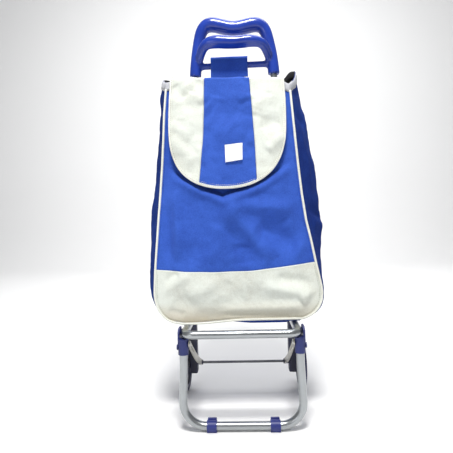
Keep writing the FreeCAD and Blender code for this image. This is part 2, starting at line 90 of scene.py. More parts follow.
def crease(x, z, x0, z0, x1, z1, w, h, ends=0.25):
    """A soft ridge (h > 0) or furrow (h < 0) along a segment, dying out at its ends."""
    dx, dz = x1 - x0, z1 - z0
    L2 = dx * dx + dz * dz
    t = ((x - x0) * dx + (z - z0) * dz) / L2
    tc = np.clip(t, 0, 1)
    d = np.hypot(x - (x0 + tc * dx), z - (z0 + tc * dz))
    fade = smooth(np.minimum(tc, 1 - tc) / ends + 0.15)
    return h * np.exp(-(d / w) ** 2) * fade


def tuck(x, z, x0, z0, x1, z1, w, h):
    """A fold: a ridge on one side of the segment and a furrow on the other."""
    dx, dz = x1 - x0, z1 - z0
    L = math.hypot(dx, dz)
    t = np.clip(((x - x0) * dx + (z - z0) * dz) / (L * L), 0, 1)
    sx, sz = x - (x0 + t * dx), z - (z0 + t * dz)
    s = (sx * -dz + sz * dx) / L
    d = np.hypot(sx, sz)
    return h * 1.6 * (s / w) * np.exp(-(d / w) ** 2) * smooth(np.minimum(t, 1 - t) / 0.25 + 0.1)


# ------------------------------------------------------------------ mesh helpers
def new_object(name, verts, faces, mats, mat_index=None, uvs=None, smooth_shade=True):
    me = BD.meshes.new(name)
    me.from_pydata([tuple(v) for v in verts], [], [tuple(f) for f in faces])
    if uvs is not None:
        lay = me.uv_layers.new(name="UVMap")
        uvs = np.asarray(uvs, float)
        vi = np.zeros(len(me.loops), np.int32)
        me.loops.foreach_get("vertex_index", vi)
        lay.data.foreach_set("uv", uvs[vi].astype(np.float32).ravel())
    for m in mats:
        me.materials.append(m)
    if mat_index is not None:
        me.polygons.foreach_set("material_index", np.asarray(mat_index, np.int32))
    me.polygons.foreach_set("use_smooth", np.full(len(me.polygons), smooth_shade))
    me.validate()
    me.update()
    o = BD.objects.new(name, me)
    bpy.context.scene.collection.objects.link(o)
    return o


def grid(P, flip=False, close_j=False):
    """Faces of an (n, m) grid of points."""
    n, m = P.shape[:2]
    f = []
    mm = m if close_j else m - 1
    for i in range(n - 1):
        for j in range(mm):
            a, b = i * m + j, i * m + (j + 1) % m
            c, d = (i + 1) * m + (j + 1) % m, (i + 1) * m + j
            f.append((a, d, c, b) if flip else (a, b, c, d))
    return f


def metric_uv(P):
    du = np.zeros(P.shape[:2])
    dv = np.zeros(P.shape[:2])
    du[:, 1:] = np.cumsum(np.linalg.norm(np.diff(P, axis=1), axis=2), 1)
    du -= du[:, du.shape[1] // 2:du.shape[1] // 2 + 1]
    dv[1:] = np.cumsum(np.linalg.norm(np.diff(P, axis=0), axis=2), 0)
    dv = np.repeat(dv[:, dv.shape[1] // 2:dv.shape[1] // 2 + 1], dv.shape[1], 1)
    return np.stack([du, dv], -1).reshape(-1, 2)


def apply_mods(o):
    dg = bpy.context.evaluated_depsgraph_get()
    me = BD.meshes.new_from_object(o.evaluated_get(dg), preserve_all_data_layers=True, depsgraph=dg)
    o.modifiers.clear()
    o.data = me
    return o


def cloth(name, P, mats, mat_index=None, thick=1.2, offset=-1.0, inner=0, flip=False, subd=0, uv=None, rim=0):
    """A fabric sheet from a grid of points, given a real thickness; the inner side can have its own material."""
    o = new_object(name, P.reshape(-1, 3), grid(P, flip), mats, mat_index, metric_uv(P) if uv is None else uv)
    s = o.modifiers.new("t", "SOLIDIFY")
    s.thickness = thick / 1000.0
    s.offset = offset
    s.use_even_offset = False
    s.material_offset = inner
    s.material_offset_rim = rim
    if subd:
        m = o.modifiers.new("s", "SUBSURF")
        m.levels = m.render_levels = subd
    bpy.context.view_layer.update()
    return apply_mods(o)


def frames_along(pts, closed=False):
    pts = np.asarray(pts, float)
    if closed:
        t = np.roll(pts, -1, 0) - np.roll(pts, 1, 0)
    else:
        t = np.gradient(pts, axis=0)
    t /= np.linalg.norm(t, axis=1)[:, None] + 1e-12
    n = np.zeros_like(t)
    ref = np.array([0, 0, 1.0]) if abs(t[0][2]) < 0.9 else np.array([1.0, 0, 0])
    v = np.cross(t[0], ref)
    v /= np.linalg.norm(v)
    for i in range(len(pts)):
        v = v - t[i] * (v @ t[i])
        v /= np.linalg.norm(v)
        n[i] = v
    return t, n, np.cross(t, n)


def tube_mesh(name, pts, radii, mats, seg=12, closed=False, squash_dir=None, k=1.0, cap=True):
    """Tube of varying radius (metres) along points. With squash_dir, the section is k times as thick along it."""
    pts = np.asarray(pts, float)
    radii = np.broadcast_to(np.asarray(radii, float), (len(pts),))
    t, n, b = frames_along(pts, closed)
    a = np.linspace(0, 2 * math.pi, seg, endpoint=False)
    ring = np.cos(a)[None, :, None] * n[:, None, :] + np.sin(a)[None, :, None] * b[:, None, :]
    ring = ring * radii[:, None, None]
    if squash_dir is not None:
        d = np.asarray(squash_dir, float)
        d = d / np.linalg.norm(d)
        comp = (ring @ d)[..., None] * d
        ring = ring - comp * (1 - k)
    P = pts[:, None, :] + ring
    verts = P.reshape(-1, 3)
    faces = grid(P, flip=True, close_j=True)
    m = seg
    N = len(pts)
    if closed:
        for j in range(seg):
            faces.append(((N - 1) * m + j, j, (j + 1) % m, (N - 1) * m + (j + 1) % m)[::-1])
    elif cap:
        faces.append(tuple(range(m))[::-1])
        faces.append(tuple((N - 1) * m + j for j in range(m)))
        faces[-2] = faces[-2][::-1]
        faces[-1] = faces[-1][::-1]
    arc = np.concatenate([[0], np.cumsum(np.linalg.norm(np.diff(pts, axis=0), axis=1))])
    uv = np.stack([np.repeat(arc, seg), np.tile(a * float(np.mean(radii)), N)], -1)
    o = new_object(name, verts, faces, mats, None, uv)
    bm_fix(o)
    return o


def bm_fix(o):
    import bmesh
    bm = bmesh.new()
    bm.from_mesh(o.data)
    bmesh.ops.recalc_face_normals(bm, faces=bm.faces)
    bm.to_mesh(o.data)
    bm.free()
    o.data.update()


def resample(pts, step):
    pts = np.asarray(pts, float)
    d = np.concatenate([[0], np.cumsum(np.linalg.norm(np.diff(pts, axis=0), axis=1))])
    n = max(2, int(round(d[-1] / step)) + 1)
    q = np.linspace(0, d[-1], n)
    return np.stack([np.interp(q, d, pts[:, i]) for i in range(pts.shape[1])], -1)


def stitches(name, pts, nrm, mat, pitch=0.0042, length=0.0028, r=0.00032, lift=0.00015):
    """A row of lockstitches: short rounded threads lying on the cloth."""
    pts = np.asarray(pts, float)
    d = np.concatenate([[0], np.cumsum(np.linalg.norm(np.diff(pts, axis=0), axis=1))])
    verts, faces = [], []
    nrm = np.asarray(nrm, float)
    k = int(d[-1] / pitch)
    for i in range(k):
        s0 = (i + 0.18) * pitch
        q = []
        for f in (0.0, 0.2, 0.5, 0.8, 1.0):
            s = s0 + f * length
            c = np.array([np.interp(s, d, pts[:, a]) for a in range(3)])
            nn = np.array([np.interp(s, d, nrm[:, a]) for a in range(3)])
            nn /= np.linalg.norm(nn) + 1e-12
            rise = r * (0.1 + 0.9 * math.sin(math.pi * (0.12 + 0.76 * f)))
            q.append((c + nn * (lift + rise * 0.6), nn, r * (0.45 + 0.55 * math.sin(math.pi * f)) + 1e-5))
        tdir = q[-1][0] - q[0][0]
        tdir /= np.linalg.norm(tdir) + 1e-12
        base = len(verts)
        for c, nn, rr in q:
            side = np.cross(tdir, nn)
            for a in range(5):
                an = 2 * math.pi * a / 5
                verts.append(c + side * rr * math.cos(an) + nn * rr * math.sin(an))
        for g in range(4):
            for a in range(5):
                faces.append((base + g * 5 + a, base + g * 5 + (a + 1) % 5, base + (g + 1) * 5 + (a + 1) % 5, base + (g + 1) * 5 + a))
        faces.append(tuple(base + a for a in range(5))[::-1])
        faces.append(tuple(base + 20 + a for a in range(5)))
    o = new_object(name, verts, faces, [mat])
    bm_fix(o)
    return o


# ------------------------------------------------------------------ materials (all procedural)
class Mat:
    def __init__(self, name):
        self.m = BD.materials.new(name)
        self.m.use_nodes = True
        self.nt = self.m.node_tree
        self.b = self.nt.nodes["Principled BSDF"]

    def n(self, kind, **kw):
        x = self.nt.nodes.new(kind)
        for k, v in kw.items():
            if k.startswith("_"):
                setattr(x, k[1:], v)
            else:
                x.inputs[k].default_value = v
        return x

    def link(self, a, b):
        self.nt.links.new(a, b)

    def math(self, op, a, b=None, clamp=False):
        x = self.nt.nodes.new("ShaderNodeMath")
        x.operation = op
        x.use_clamp = clamp
        for i, v in enumerate((a, b)):
            if v is None:
                continue
            if isinstance(v, (int, float)):
                x.inputs[i].default_value = v
            else:
                self.link(v, x.inputs[i])
        return x.outputs[0]

    def ramp(self, fac, stops):
        r = self.nt.nodes.new("ShaderNodeValToRGB")
        e = r.color_ramp.elements
        e[0].position, e[0].color = stops[0][0], (*stops[0][1], 1)
        e[1].position, e[1].color = stops[-1][0], (*stops[-1][1], 1)
        for p, c in stops[1:-1]:
            q = e.new(p)
            q.color = (*c, 1)
        self.link(fac, r.inputs[0])
        return r.outputs[0]

    def bump(self, height, strength, distance, normal=None):
        b = self.n("ShaderNodeBump", Strength=strength, Distance=distance)
        self.link(height, b.inputs["Height"])
        if normal is not None:
            self.link(normal, b.inputs["Normal"])
        return b.outputs[0]


def fabric(name, lo, mid, hi, thread=0.00062, sheen=0.25, rough=0.78, weave=0.5, spec=0.16, bottom_shade=None):
    M = Mat(name)
    uv = M.n("ShaderNodeTexCoord").outputs["UV"]
    sep = M.n("ShaderNodeSeparateXYZ")
    M.link(uv, sep.inputs[0])
    k = 2 * math.pi / (thread * 2)
    wob = M.n("ShaderNodeTexNoise", Scale=900.0, Detail=1.0)
    M.link(uv, wob.inputs["Vector"])
    u = M.math("ADD", M.math("MULTIPLY", sep.outputs[0], k), M.math("MULTIPLY", wob.outputs["Fac"], 0.9))
    v = M.math("ADD", M.math("MULTIPLY", sep.outputs[1], k), M.math("MULTIPLY", wob.outputs["Fac"], 0.9))
    su, sv = M.math("SINE", u), M.math("SINE", v)
    over = M.math("MULTIPLY", su, sv)                       # plain weave: warp over weft, then under
    h = M.math("ADD", M.math("MULTIPLY", over, 0.5), 0.5)
    obj = M.n("ShaderNodeTexCoord").outputs["Object"]
    big = M.n("ShaderNodeTexNoise", Scale=9.0, Detail=3.0, Roughness=0.55)
    M.link(obj, big.inputs["Vector"])
    fine = M.n("ShaderNodeTexNoise", Scale=420.0, Detail=2.0, Roughness=0.7)
    M.link(obj, fine.inputs["Vector"])
    slub = M.n("ShaderNodeTexNoise", Scale=60.0, Detail=2.0)
    M.link(obj, slub.inputs["Vector"])
    f = M.math("ADD", M.math("MULTIPLY", big.outputs["Fac"], 0.40), M.math("MULTIPLY", fine.outputs["Fac"], 0.35))
    f = M.math("ADD", f, M.math("MULTIPLY", h, 0.10))
    f = M.math("ADD", f, M.math("MULTIPLY", slub.outputs["Fac"], 0.15))
    col = M.ramp(f, [(0.34, lo), (0.5, mid), (0.68, hi)])
    if bottom_shade is not None:                                    # painted shade: a warm darker tint, patchy with noise, strongest at the bottom and fading upwards
        z0, z1, amount, shade_col = bottom_shade
        so = M.n("ShaderNodeSeparateXYZ")
        M.link(obj, so.inputs[0])
        mr = M.n("ShaderNodeMapRange")
        M.link(so.outputs[2], mr.inputs[0])
        mr.inputs[1].default_value, mr.inputs[2].default_value = z1, z0
        fac = M.math("MULTIPLY", mr.outputs[0], M.math("MULTIPLY", M.math("ADD", big.outputs["Fac"], M.math("MULTIPLY", slub.outputs["Fac"], 0.4)), amount), clamp=True)
        mx = M.n("ShaderNodeMixRGB")
        M.link(fac, mx.inputs[0])
        M.link(col, mx.inputs[1])
        mx.inputs[2].default_value = (*shade_col, 1)
        col = mx.outputs[0]
    M.link(col, M.b.inputs["Base Color"])
    rr = M.math("ADD", M.math("MULTIPLY", slub.outputs["Fac"], 0.14), rough - 0.07)
    M.link(rr, M.b.inputs["Roughness"])
    M.b.inputs["Sheen Weight"].default_value = sheen
    M.b.inputs["Sheen Roughness"].default_value = 0.5
    M.b.inputs["Specular IOR Level"].default_value = spec
    nb = M.bump(h, weave, 0.00025)
    nb = M.bump(fine.outputs["Fac"], 0.18, 0.0006, nb)
    nb = M.bump(slub.outputs["Fac"], 0.25, 0.0012, nb)
    M.link(nb, M.b.inputs["Normal"])
    return M.m


def plastic(name, lo, hi, rough=0.24, coat=0.25, scale=30.0, bump=0.05, wear=None):
    M = Mat(name)
    obj = M.n("ShaderNodeTexCoord").outputs["Object"]
    n1 = M.n("ShaderNodeTexNoise", Scale=scale, Detail=3.0)
    n2 = M.n("ShaderNodeTexNoise", Scale=scale * 14, Detail=2.0)
    M.link(obj, n1.inputs["Vector"])
    M.link(obj, n2.inputs["Vector"])
    col = M.ramp(n1.outputs["Fac"], [(0.35, lo), (0.65, hi)])
    if wear is not None:
        geo = M.n("ShaderNodeNewGeometry")
        edge = M.ramp(geo.outputs["Pointiness"], [(0.53, (0, 0, 0)), (0.62, (1, 1, 1))])
        mix = M.n("ShaderNodeMixRGB")
        M.link(M.math("MULTIPLY", edge, M.math("MULTIPLY", n2.outputs["Fac"], 0.55)), mix.inputs[0])
        M.link(col, mix.inputs[1])
        mix.inputs[2].default_value = (*wear, 1)
        col = mix.outputs[0]
    M.link(col, M.b.inputs["Base Color"])
    r = M.math("ADD", M.math("MULTIPLY", n1.outputs["Fac"], 0.14), rough - 0.07)
    r = M.math("ADD", r, M.math("MULTIPLY", n2.outputs["Fac"], 0.05))
    M.link(r, M.b.inputs["Roughness"])
    M.b.inputs["Coat Weight"].default_value = coat
    M.b.inputs["Coat Roughness"].default_value = 0.12
    nb = M.bump(n2.outputs["Fac"], bump, 0.0006)
    nb = M.bump(n1.outputs["Fac"], bump * 2.0, 0.0015, nb)
    M.link(nb, M.b.inputs["Normal"])
    return M.m


def metal(name, lo, hi, rough=0.27, axis=0, streak=0.35, spots=True):
    """Drawn steel: fine streaks along the tube, small scuffs and a little dullness."""
    M = Mat(name)
    obj = M.n("ShaderNodeTexCoord").outputs["Object"]
    mp = M.n("ShaderNodeMapping")
    sc = [900.0, 900.0, 900.0]
    sc[axis] = 14.0
    mp.inputs["Scale"].default_value = sc
    M.link(obj, mp.inputs["Vector"])
    st = M.n("ShaderNodeTexNoise", Scale=1.0, Detail=3.0)
    M.link(mp.outputs[0], st.inputs["Vector"])
    cl = M.n("ShaderNodeTexNoise", Scale=22.0, Detail=4.0)
    M.link(obj, cl.inputs["Vector"])
    sp = M.n("ShaderNodeTexNoise", Scale=240.0, Detail=2.0)
    M.link(obj, sp.inputs["Vector"])
    f = M.math("ADD", M.math("MULTIPLY", st.outputs["Fac"], streak), M.math("MULTIPLY", cl.outputs["Fac"], 1 - streak))
    col = M.ramp(f, [(0.3, lo), (0.7, hi)])
    M.link(col, M.b.inputs["Base Color"])
    M.b.inputs["Metallic"].default_value = 1.0
    r = M.math("ADD", M.math("MULTIPLY", cl.outputs["Fac"], 0.06), rough - 0.03)
    r = M.math("ADD", r, M.math("MULTIPLY", M.math("GREATER_THAN", sp.outputs["Fac"], 0.66), 0.12))
    M.link(r, M.b.inputs["Roughness"])
    nb = M.bump(st.outputs["Fac"], 0.035, 0.0002)
    nb = M.bump(cl.outputs["Fac"], 0.02, 0.0006, nb)
    M.link(nb, M.b.inputs["Normal"])
    return M.m


BLUE = fabric("fabric_blue", (0.022, 0.064, 0.35), (0.033, 0.096, 0.46), (0.047, 0.128, 0.57), sheen=0.04)
# painted shade: the same blue fabric as BLUE, darkened for the sides, bottom, back and post ties that face away from
# the lights
BLUE_SHADED = fabric("fabric_blue_painted_shade", (0.008, 0.021, 0.130), (0.012, 0.033, 0.19), (0.019, 0.051, 0.26), sheen=0.0, rough=0.92, spec=0.06)
CREAM = fabric("fabric_cream", (0.56, 0.56, 0.49), (0.68, 0.71, 0.65), (0.76, 0.80, 0.75), sheen=0.05)
# painted shade: the cream darkens to warm beige towards the bottom edge of the lower panel
CREAM_LOW = fabric("fabric_cream_bottom_shade", (0.56, 0.56, 0.49), (0.68, 0.71, 0.65), (0.76, 0.80, 0.75), sheen=0.05, bottom_shade=(0.200, 0.242, 0.85, (0.50, 0.40, 0.26)))
PIPE = fabric("tape_offwhite", (0.62, 0.62, 0.54), (0.78, 0.79, 0.72), (0.87, 0.88, 0.83), thread=0.0005, sheen=0.1)
HEM = fabric("tape_grey", (0.30, 0.31, 0.34), (0.44, 0.45, 0.49), (0.60, 0.61, 0.65), thread=0.0007, sheen=0.1)
LINING = fabric("lining_black", (0.004, 0.004, 0.006), (0.008, 0.008, 0.011), (0.014, 0.014, 0.018), sheen=0.05, rough=0.6)
LABEL = fabric("label_white", (0.78, 0.80, 0.84), (0.88, 0.90, 0.93), (0.93, 0.94, 0.96), thread=0.0003, sheen=0.05, weave=0.25)
THREAD_L = fabric("thread_light", (0.55, 0.55, 0.48), (0.68, 0.69, 0.60), (0.80, 0.80, 0.73), thread=0.0004, sheen=0.0)
THREAD_D = fabric("thread_grey", (0.20, 0.20, 0.17), (0.30, 0.30, 0.26), (0.42, 0.42, 0.36), thread=0.0004, sheen=0.0)
THREAD_B = fabric("thread_blue", (0.012, 0.03, 0.2), (0.02, 0.05, 0.3), (0.03, 0.08, 0.4), thread=0.0004, sheen=0.0)
HANDLE = plastic("plastic_royal_blue", (0.006, 0.030, 0.27), (0.010, 0.044, 0.35), rough=0.20, coat=0.30, scale=18.0, bump=0.02)
SLEEVE = plastic("plastic_sleeve_blue", (0.006, 0.010, 0.09), (0.010, 0.016, 0.13), rough=0.42, coat=0.0, wear=(0.03, 0.05, 0.2))
CLIP = plastic("plastic_clip_blue", (0.008, 0.012, 0.13), (0.012, 0.020, 0.18), rough=0.42, coat=0.0, wear=(0.04, 0.06, 0.25))
NAVY = plastic("plastic_navy", (0.004, 0.005, 0.026), (0.006, 0.008, 0.040), rough=0.40, coat=0.05, wear=(0.04, 0.05, 0.14))
TYRE = plastic("tyre_navy", (0.006, 0.009, 0.050), (0.010, 0.014, 0.075), rough=0.60, coat=0.0, scale=60.0, bump=0.35, wear=(0.05, 0.05, 0.06))
STEEL_X = metal("steel_tube_x", (0.36, 0.38, 0.39), (0.42, 0.44, 0.45), rough=0.30, axis=0)
STEEL_Y = metal("steel_tube_y", (0.36, 0.38, 0.39), (0.42, 0.44, 0.45), rough=0.30, axis=1)
STEEL_Z = metal("steel_tube_z", (0.36, 0.38, 0.39), (0.42, 0.44, 0.45), rough=0.30, axis=2)
ZINC = metal("steel_zinc", (0.36, 0.35, 0.32), (0.62, 0.60, 0.54), rough=0.42, axis=1, streak=0.3)
RIVET = metal("steel_rivet", (0.40, 0.40, 0.40), (0.66, 0.66, 0.64), rough=0.3, axis=0, streak=0.2)
AXLE = metal("steel_axle", (0.10, 0.105, 0.115), (0.22, 0.225, 0.235), rough=0.36, axis=0, streak=0.6)

CAD_MATS = {
    "post_left": STEEL_Z, "post_right": STEEL_Z, "shelf_tube": STEEL_X, "stand_tube": STEEL_Z,
    "stay_left": ZINC, "stay_right": ZINC, "stay_rivet_left": RIVET, "stay_rivet_right": RIVET, "cross_brace": ZINC,
    "brace_rivets": RIVET, "handle_screws": RIVET, "fold_pins": RIVET, "axle_washers": RIVET, "axle_spacers": NAVY,
    "sleeve_rivets": SLEEVE, "axle": AXLE, "axle_caps": NAVY, "bracket_left": NAVY, "bracket_right": NAVY,
    "wheel_hub_left": NAVY, "wheel_hub_right": NAVY, "wheel_tyre_left": TYRE, "wheel_tyre_right": TYRE,
    "sleeve_left": SLEEVE, "sleeve_right": SLEEVE, "foot_clip_left": CLIP, "foot_clip_right": CLIP,
}
for node, m in CAD_MATS.items():
    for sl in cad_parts[node].material_slots:
        sl.material = m


def bag_piece(o, squash=True, *nodes, slot=None):
    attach(o, "frame")
    if nodes:
        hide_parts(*nodes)
    if squash:
        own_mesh(o)
    return o


# ------------------------------------------------------------------ outline of the bag, seen from the front
RIM_F, RIM_B = 692.0, 748.0


def rim_f(x):
    """Height of the front edge of the mouth: lower on the right, with a sagging right corner."""
    x = np.asarray(x, float)
    return 690.5 - 9.0 * (x + 127) / 226.0 - 9.0 * np.exp(-((x - 118) / 13.0) ** 2) - 3.0 * np.exp(-((x + 142) / 10.0) ** 2)


def foot_z(x):
    """Height of the bottom seam: the left end hangs a little lower than the right."""
    return 198.8 + 6.3 * smooth((np.asarray(x, float) + 100) / 115.0)


L_TAB = [(199, -112), (201, -134), (207, -148.5), (217, -159.5), (230, -167.5), (245, -172), (260, -173.4), (309, -170.6), (409, -160.7),
         (463, -154.9), (518, -149.6), (573, -145.4), (625, -141.9), (679, -136.4), (700, -134.5)]
R_TAB = [(199, 100), (203.5, 118), (208, 133), (216, 147), (228, 157), (241, 162.5), (255, 163.8), (271, 162.2), (315, 153.1), (363, 144.1),
         (402, 135.5), (454, 128.6), (508, 123.3), (562, 118.9), (614, 115), (668, 110.8), (700, 108.5)]
FZ0 = 199.5


def left_x(z):
    return curve_table(L_TAB, z, 3.0)


def right_x(z):
    return curve_table(R_TAB, z, 3.0)


def v_line(x):
    """Lower edge of the hollow that the front panel makes under the flap."""
    return 446 + np.where(x < -29, (-29 - x) * 0.56, (x + 29) * 0.43) + 3 * np.cos((x + 29) / 22.0)


def front_u(x, z):
    """How far forward the front panel stands (mm)."""
    lx, rx = left_x(z), right_x(z)
    s = np.clip((x - lx) / (rx - lx), 0, 1)
    edge = np.minimum(smooth(s / 0.13), smooth((1 - s) / 0.13))
    low = smooth((z - FZ0) / 38.0)
    crown = 3.0 * np.sin(math.pi * s) ** 0.8 * smooth((z - 205) / 80)
    u = crown
    # the hollow under the flap, and the ridge that closes it
    d = z - v_line(x)
    u = u - 9.0 * smooth((d + 2) / 16.0) * (0.35 + 0.65 * np.sin(math.pi * s)) * (1 - 0.5 * smooth((z - 560) / 90))
    u = u + 3.5 * np.exp(-((d + 7) / 9.0) ** 2) * np.sin(math.pi * s)
    # creases of the slack blue panel
    u = u + crease(x, z, -33, 442, 70, 322, 20, 6.5)
    u = u + crease(x, z, -22, 404, 56, 316, 20, -4.5)
    u = u + crease(x, z, -33, 438, 118, 424, 15, 5.0)
    u = u + crease(x, z, 34, 392, 128, 352, 30, -6.5)
    u = u + crease(x, z, 92, 405, 140, 330, 16, 3.0)
    u = u + crease(x, z, -128, 470, -122, 322, 13, 3.6)
    u = u + crease(x, z, -148, 440, -146, 320, 12, -3.8)
    u = u + crease(x, z, -90, 470, -72, 318, 26, -2.6)
    u = u + crease(x, z, -40, 402, -58, 318, 20, 2.6)
    u = u + crease(x, z, 8, 360, 10, 312, 20, -2.6)
    # cream panel: puckers from the corners and a soft roll along the bottom
    u = u + crease(x, z, -160, 262, -100, 300, 10, 2.6) + crease(x, z, -156, 284, -124, 302, 9, -1.9)
    u = u + crease(x, z, 44, 272, 152, 250, 13, 3.6) + crease(x, z, 70, 286, 154, 276, 12, -2.8)
    u = u + crease(x, z, -140, 244, -84, 232, 15, -2.0) + crease(x, z, -110, 250, -36, 288, 16, 2.2)
    u = u + crease(x, z, 120, 240, 152, 262, 8, 3.5) + crease(x, z, -60, 222, 150, 226, 12, 2.8)
    u = u + crease(x, z, -40, 214, 120, 212, 6, -2.6) + crease(x, z, -150, 225, -112, 214, 8, -2.4)
    u = u + 1.5 * vnoise(x, z, 46, 3) + 0.7 * vnoise(x, z, 19, 4) * (0.5 + 0.5 * vnoise(x, z, 70, 5)) + 0.18 * vnoise(x, z, 7, 6)
    # puckers along the piping
    pk = np.exp(-(s / 0.05) ** 2) + np.exp(-((1 - s) / 0.05) ** 2)
    u = u * 2.0
    out = 158.0 + u * edge * np.clip(low + 0.12, 0, 1) + 0.35 * pk * np.sin(z / 4.6 + 2.0 * vnoise(x, z, 30, 8)) * smooth(s / 0.01) * smooth((1 - s) / 0.01)
    return out - 1.5 * (1 - smooth((z - FZ0) / 26.0))


SEAM = [(-176, 310), (-170, 309.3), (-110, 304.1), (-50, 302), (21, 302.8), (92, 309.7), (150, 317.2), (170, 319)]


def seam_z(x):
    return curve_table(SEAM, x, 16.0)


HEM_T = 17.0
# front panels: one continuous surface, cut along the seam
NX = 150


def front_patch(zlo_f, zhi_f, rows):
    """Grid between two heights given as functions of x; its sides follow the piping."""
    P = np.zeros((rows, NX, 3))
    S = np.linspace(0, 1, NX)
    for i in range(rows):
        t = i / (rows - 1)
        # solve for x at each column: a few fixed-point steps, because the seam bends
        x = -30 + (S - 0.5) * 280
        for _ in range(12):
            z = zlo_f(x) + (zhi_f(x) - zlo_f(x)) * t
            x = left_x(z) + (right_x(z) - left_x(z)) * S
        P[i, :, 0], P[i, :, 2] = x, z
    P[..., 1] = front_u(P[..., 0], P[..., 2])
    return P


def rim_warp(x, u, z):
    """The back of the mouth hangs lower behind the flap and stands up at the right corner."""
    k = smooth((100.0 - u) / 85.0) * smooth((z - 650.0) / 90.0)
    corner = smooth((x - 110.0) / 24.0)
    low = -3.8 - 0.046 * (np.clip(x, -127, 110) + 127)
    return k * (low * (1 - corner) + 5.5 * corner)


def warp_rows(P):
    return W(P[..., 0], P[..., 1], P[..., 2])


def shell_rows(P):
    return W(P[..., 0], P[..., 1], P[..., 2] + rim_warp(P[..., 0], P[..., 1], P[..., 2]))


up = front_patch(seam_z, lambda x: rim_f(x) - 3.0, 190)
seam_roll = 0.9 * np.exp(-((up[..., 2] - seam_z(up[..., 0])) / 1.6) ** 2)
up[..., 1] -= seam_roll
o = cloth("bag_front_panel", warp_rows(up), [BLUE, LINING], inner=1, rim=0, flip=False)
bag_piece(o, True, "bag_front", slot="blue_fabric")

# rows of the lower panel crowd towards the rounded bottom
tt = np.linspace(0, 1, 84) ** 1.7


def lower_patch():
    P = np.zeros((len(tt), NX, 3))
    S = np.linspace(0, 1, NX)
    for i, t in enumerate(tt):
        x = -5 + (S - 0.5) * 300
        for _ in range(14):
            z = foot_z(x) + (seam_z(x) - foot_z(x)) * t
            x = left_x(z) + (right_x(z) - left_x(z)) * S
        P[i, :, 0], P[i, :, 2] = x, z
    P[..., 1] = front_u(P[..., 0], P[..., 2])
    return P


lo = lower_patch()
lo[..., 1] -= 0.9 * np.exp(-((lo[..., 2] - seam_z(lo[..., 0])) / 1.6) ** 2)
# lower cream panel, with painted shade along its bottom edge
o = cloth("bag_lower_front_panel", warp_rows(lo), [CREAM_LOW, LINING], inner=1, rim=0)
bag_piece(o, True, "bag_lower_front", slot="cream_fabric")

# stitching under the seam of the cream panel
xs = np.linspace(-165, 146, 320)
zs = seam_z(xs) - 2.6
sp = W(xs, front_u(xs, zs) + 0.1, zs)
o = stitches("seam_stitches", sp, np.tile([0, -1.0, 0], (len(xs), 1)), THREAD_L)
bag_piece(o, True, slot="cream_fabric")

# ------------------------------------------------------------------ the gusset: sides and bottom
NSIDE, NBOT, NV = 150, 60, 44


def f_curve():
    """Front edge of the gusset, from the right rim round the bottom to the left rim (x, z)."""
    zt = np.linspace(1, 0, NSIDE) ** 1.35
    zr_lo, zl_lo = float(foot_z(104.0)), float(foot_z(-112.0))
    zr = zr_lo + (float(rim_f(109.0)) - zr_lo) * zt
    zl = zl_lo + (float(rim_f(-135.0)) - zl_lo) * zt
    right = np.stack([right_x(zr), zr], -1)
    left = np.stack([left_x(zl), zl], -1)[::-1]
    b = np.linspace(0, 1, NBOT + 2)[1:-1]
    bot = np.stack([right[-1, 0] + (left[0, 0] - right[-1, 0]) * b, foot_z(right[-1, 0] + (left[0, 0] - right[-1, 0]) * b)], -1)
    return right, bot, left


def b_curve():
    wb = [(250, 175), (400, 169), (550, 160), (748, 142)]
    zc, r = 205.0 + 45.0, 45.0
    n_corner = 40
    zt = np.linspace(0, 1, NSIDE - n_corner)
    z = RIM_B + (zc - RIM_B) * zt
    w = curve_table(wb, z, 12)
    a = np.linspace(0, math.pi / 2, n_corner + 1)[1:]
    cx = float(w[-1]) - r
    right = np.concatenate([np.stack([w, z], -1), np.stack([cx + r * np.cos(a), zc - r * np.sin(a)], -1)])
    left = right[::-1] * np.array([-1, 1])
    b = np.linspace(0, 1, NBOT + 2)[1:-1]
    bot = np.stack([right[-1, 0] + (left[0, 0] - right[-1, 0]) * b, np.full(NBOT, 205.0)], -1)
    return right, bot, left


fr, fb, fl = f_curve()
br, bb, bl = b_curve()


def even(p, n):
    return resample(p, np.linalg.norm(np.diff(p, axis=0), axis=1).sum() / (n - 1))[:n]


fr, fl, br, bl = even(fr, NSIDE), even(fl, NSIDE), even(br, NSIDE), even(bl, NSIDE)
BULGE_L = [(150, 4), (200, 8), (241, 21), (281, 25), (346, 26), (410, 24), (470, 21), (529, 17), (617, 16), (676, 20), (711, 17), (750, 9)]
BULGE_R = [(150, 3), (200, 5), (221, 9), (254, 10.4), (309, 11.7), (399, 24), (458, 26), (517, 24), (576, 20), (620, 14), (663, 9), (698, 6), (750, 4)]


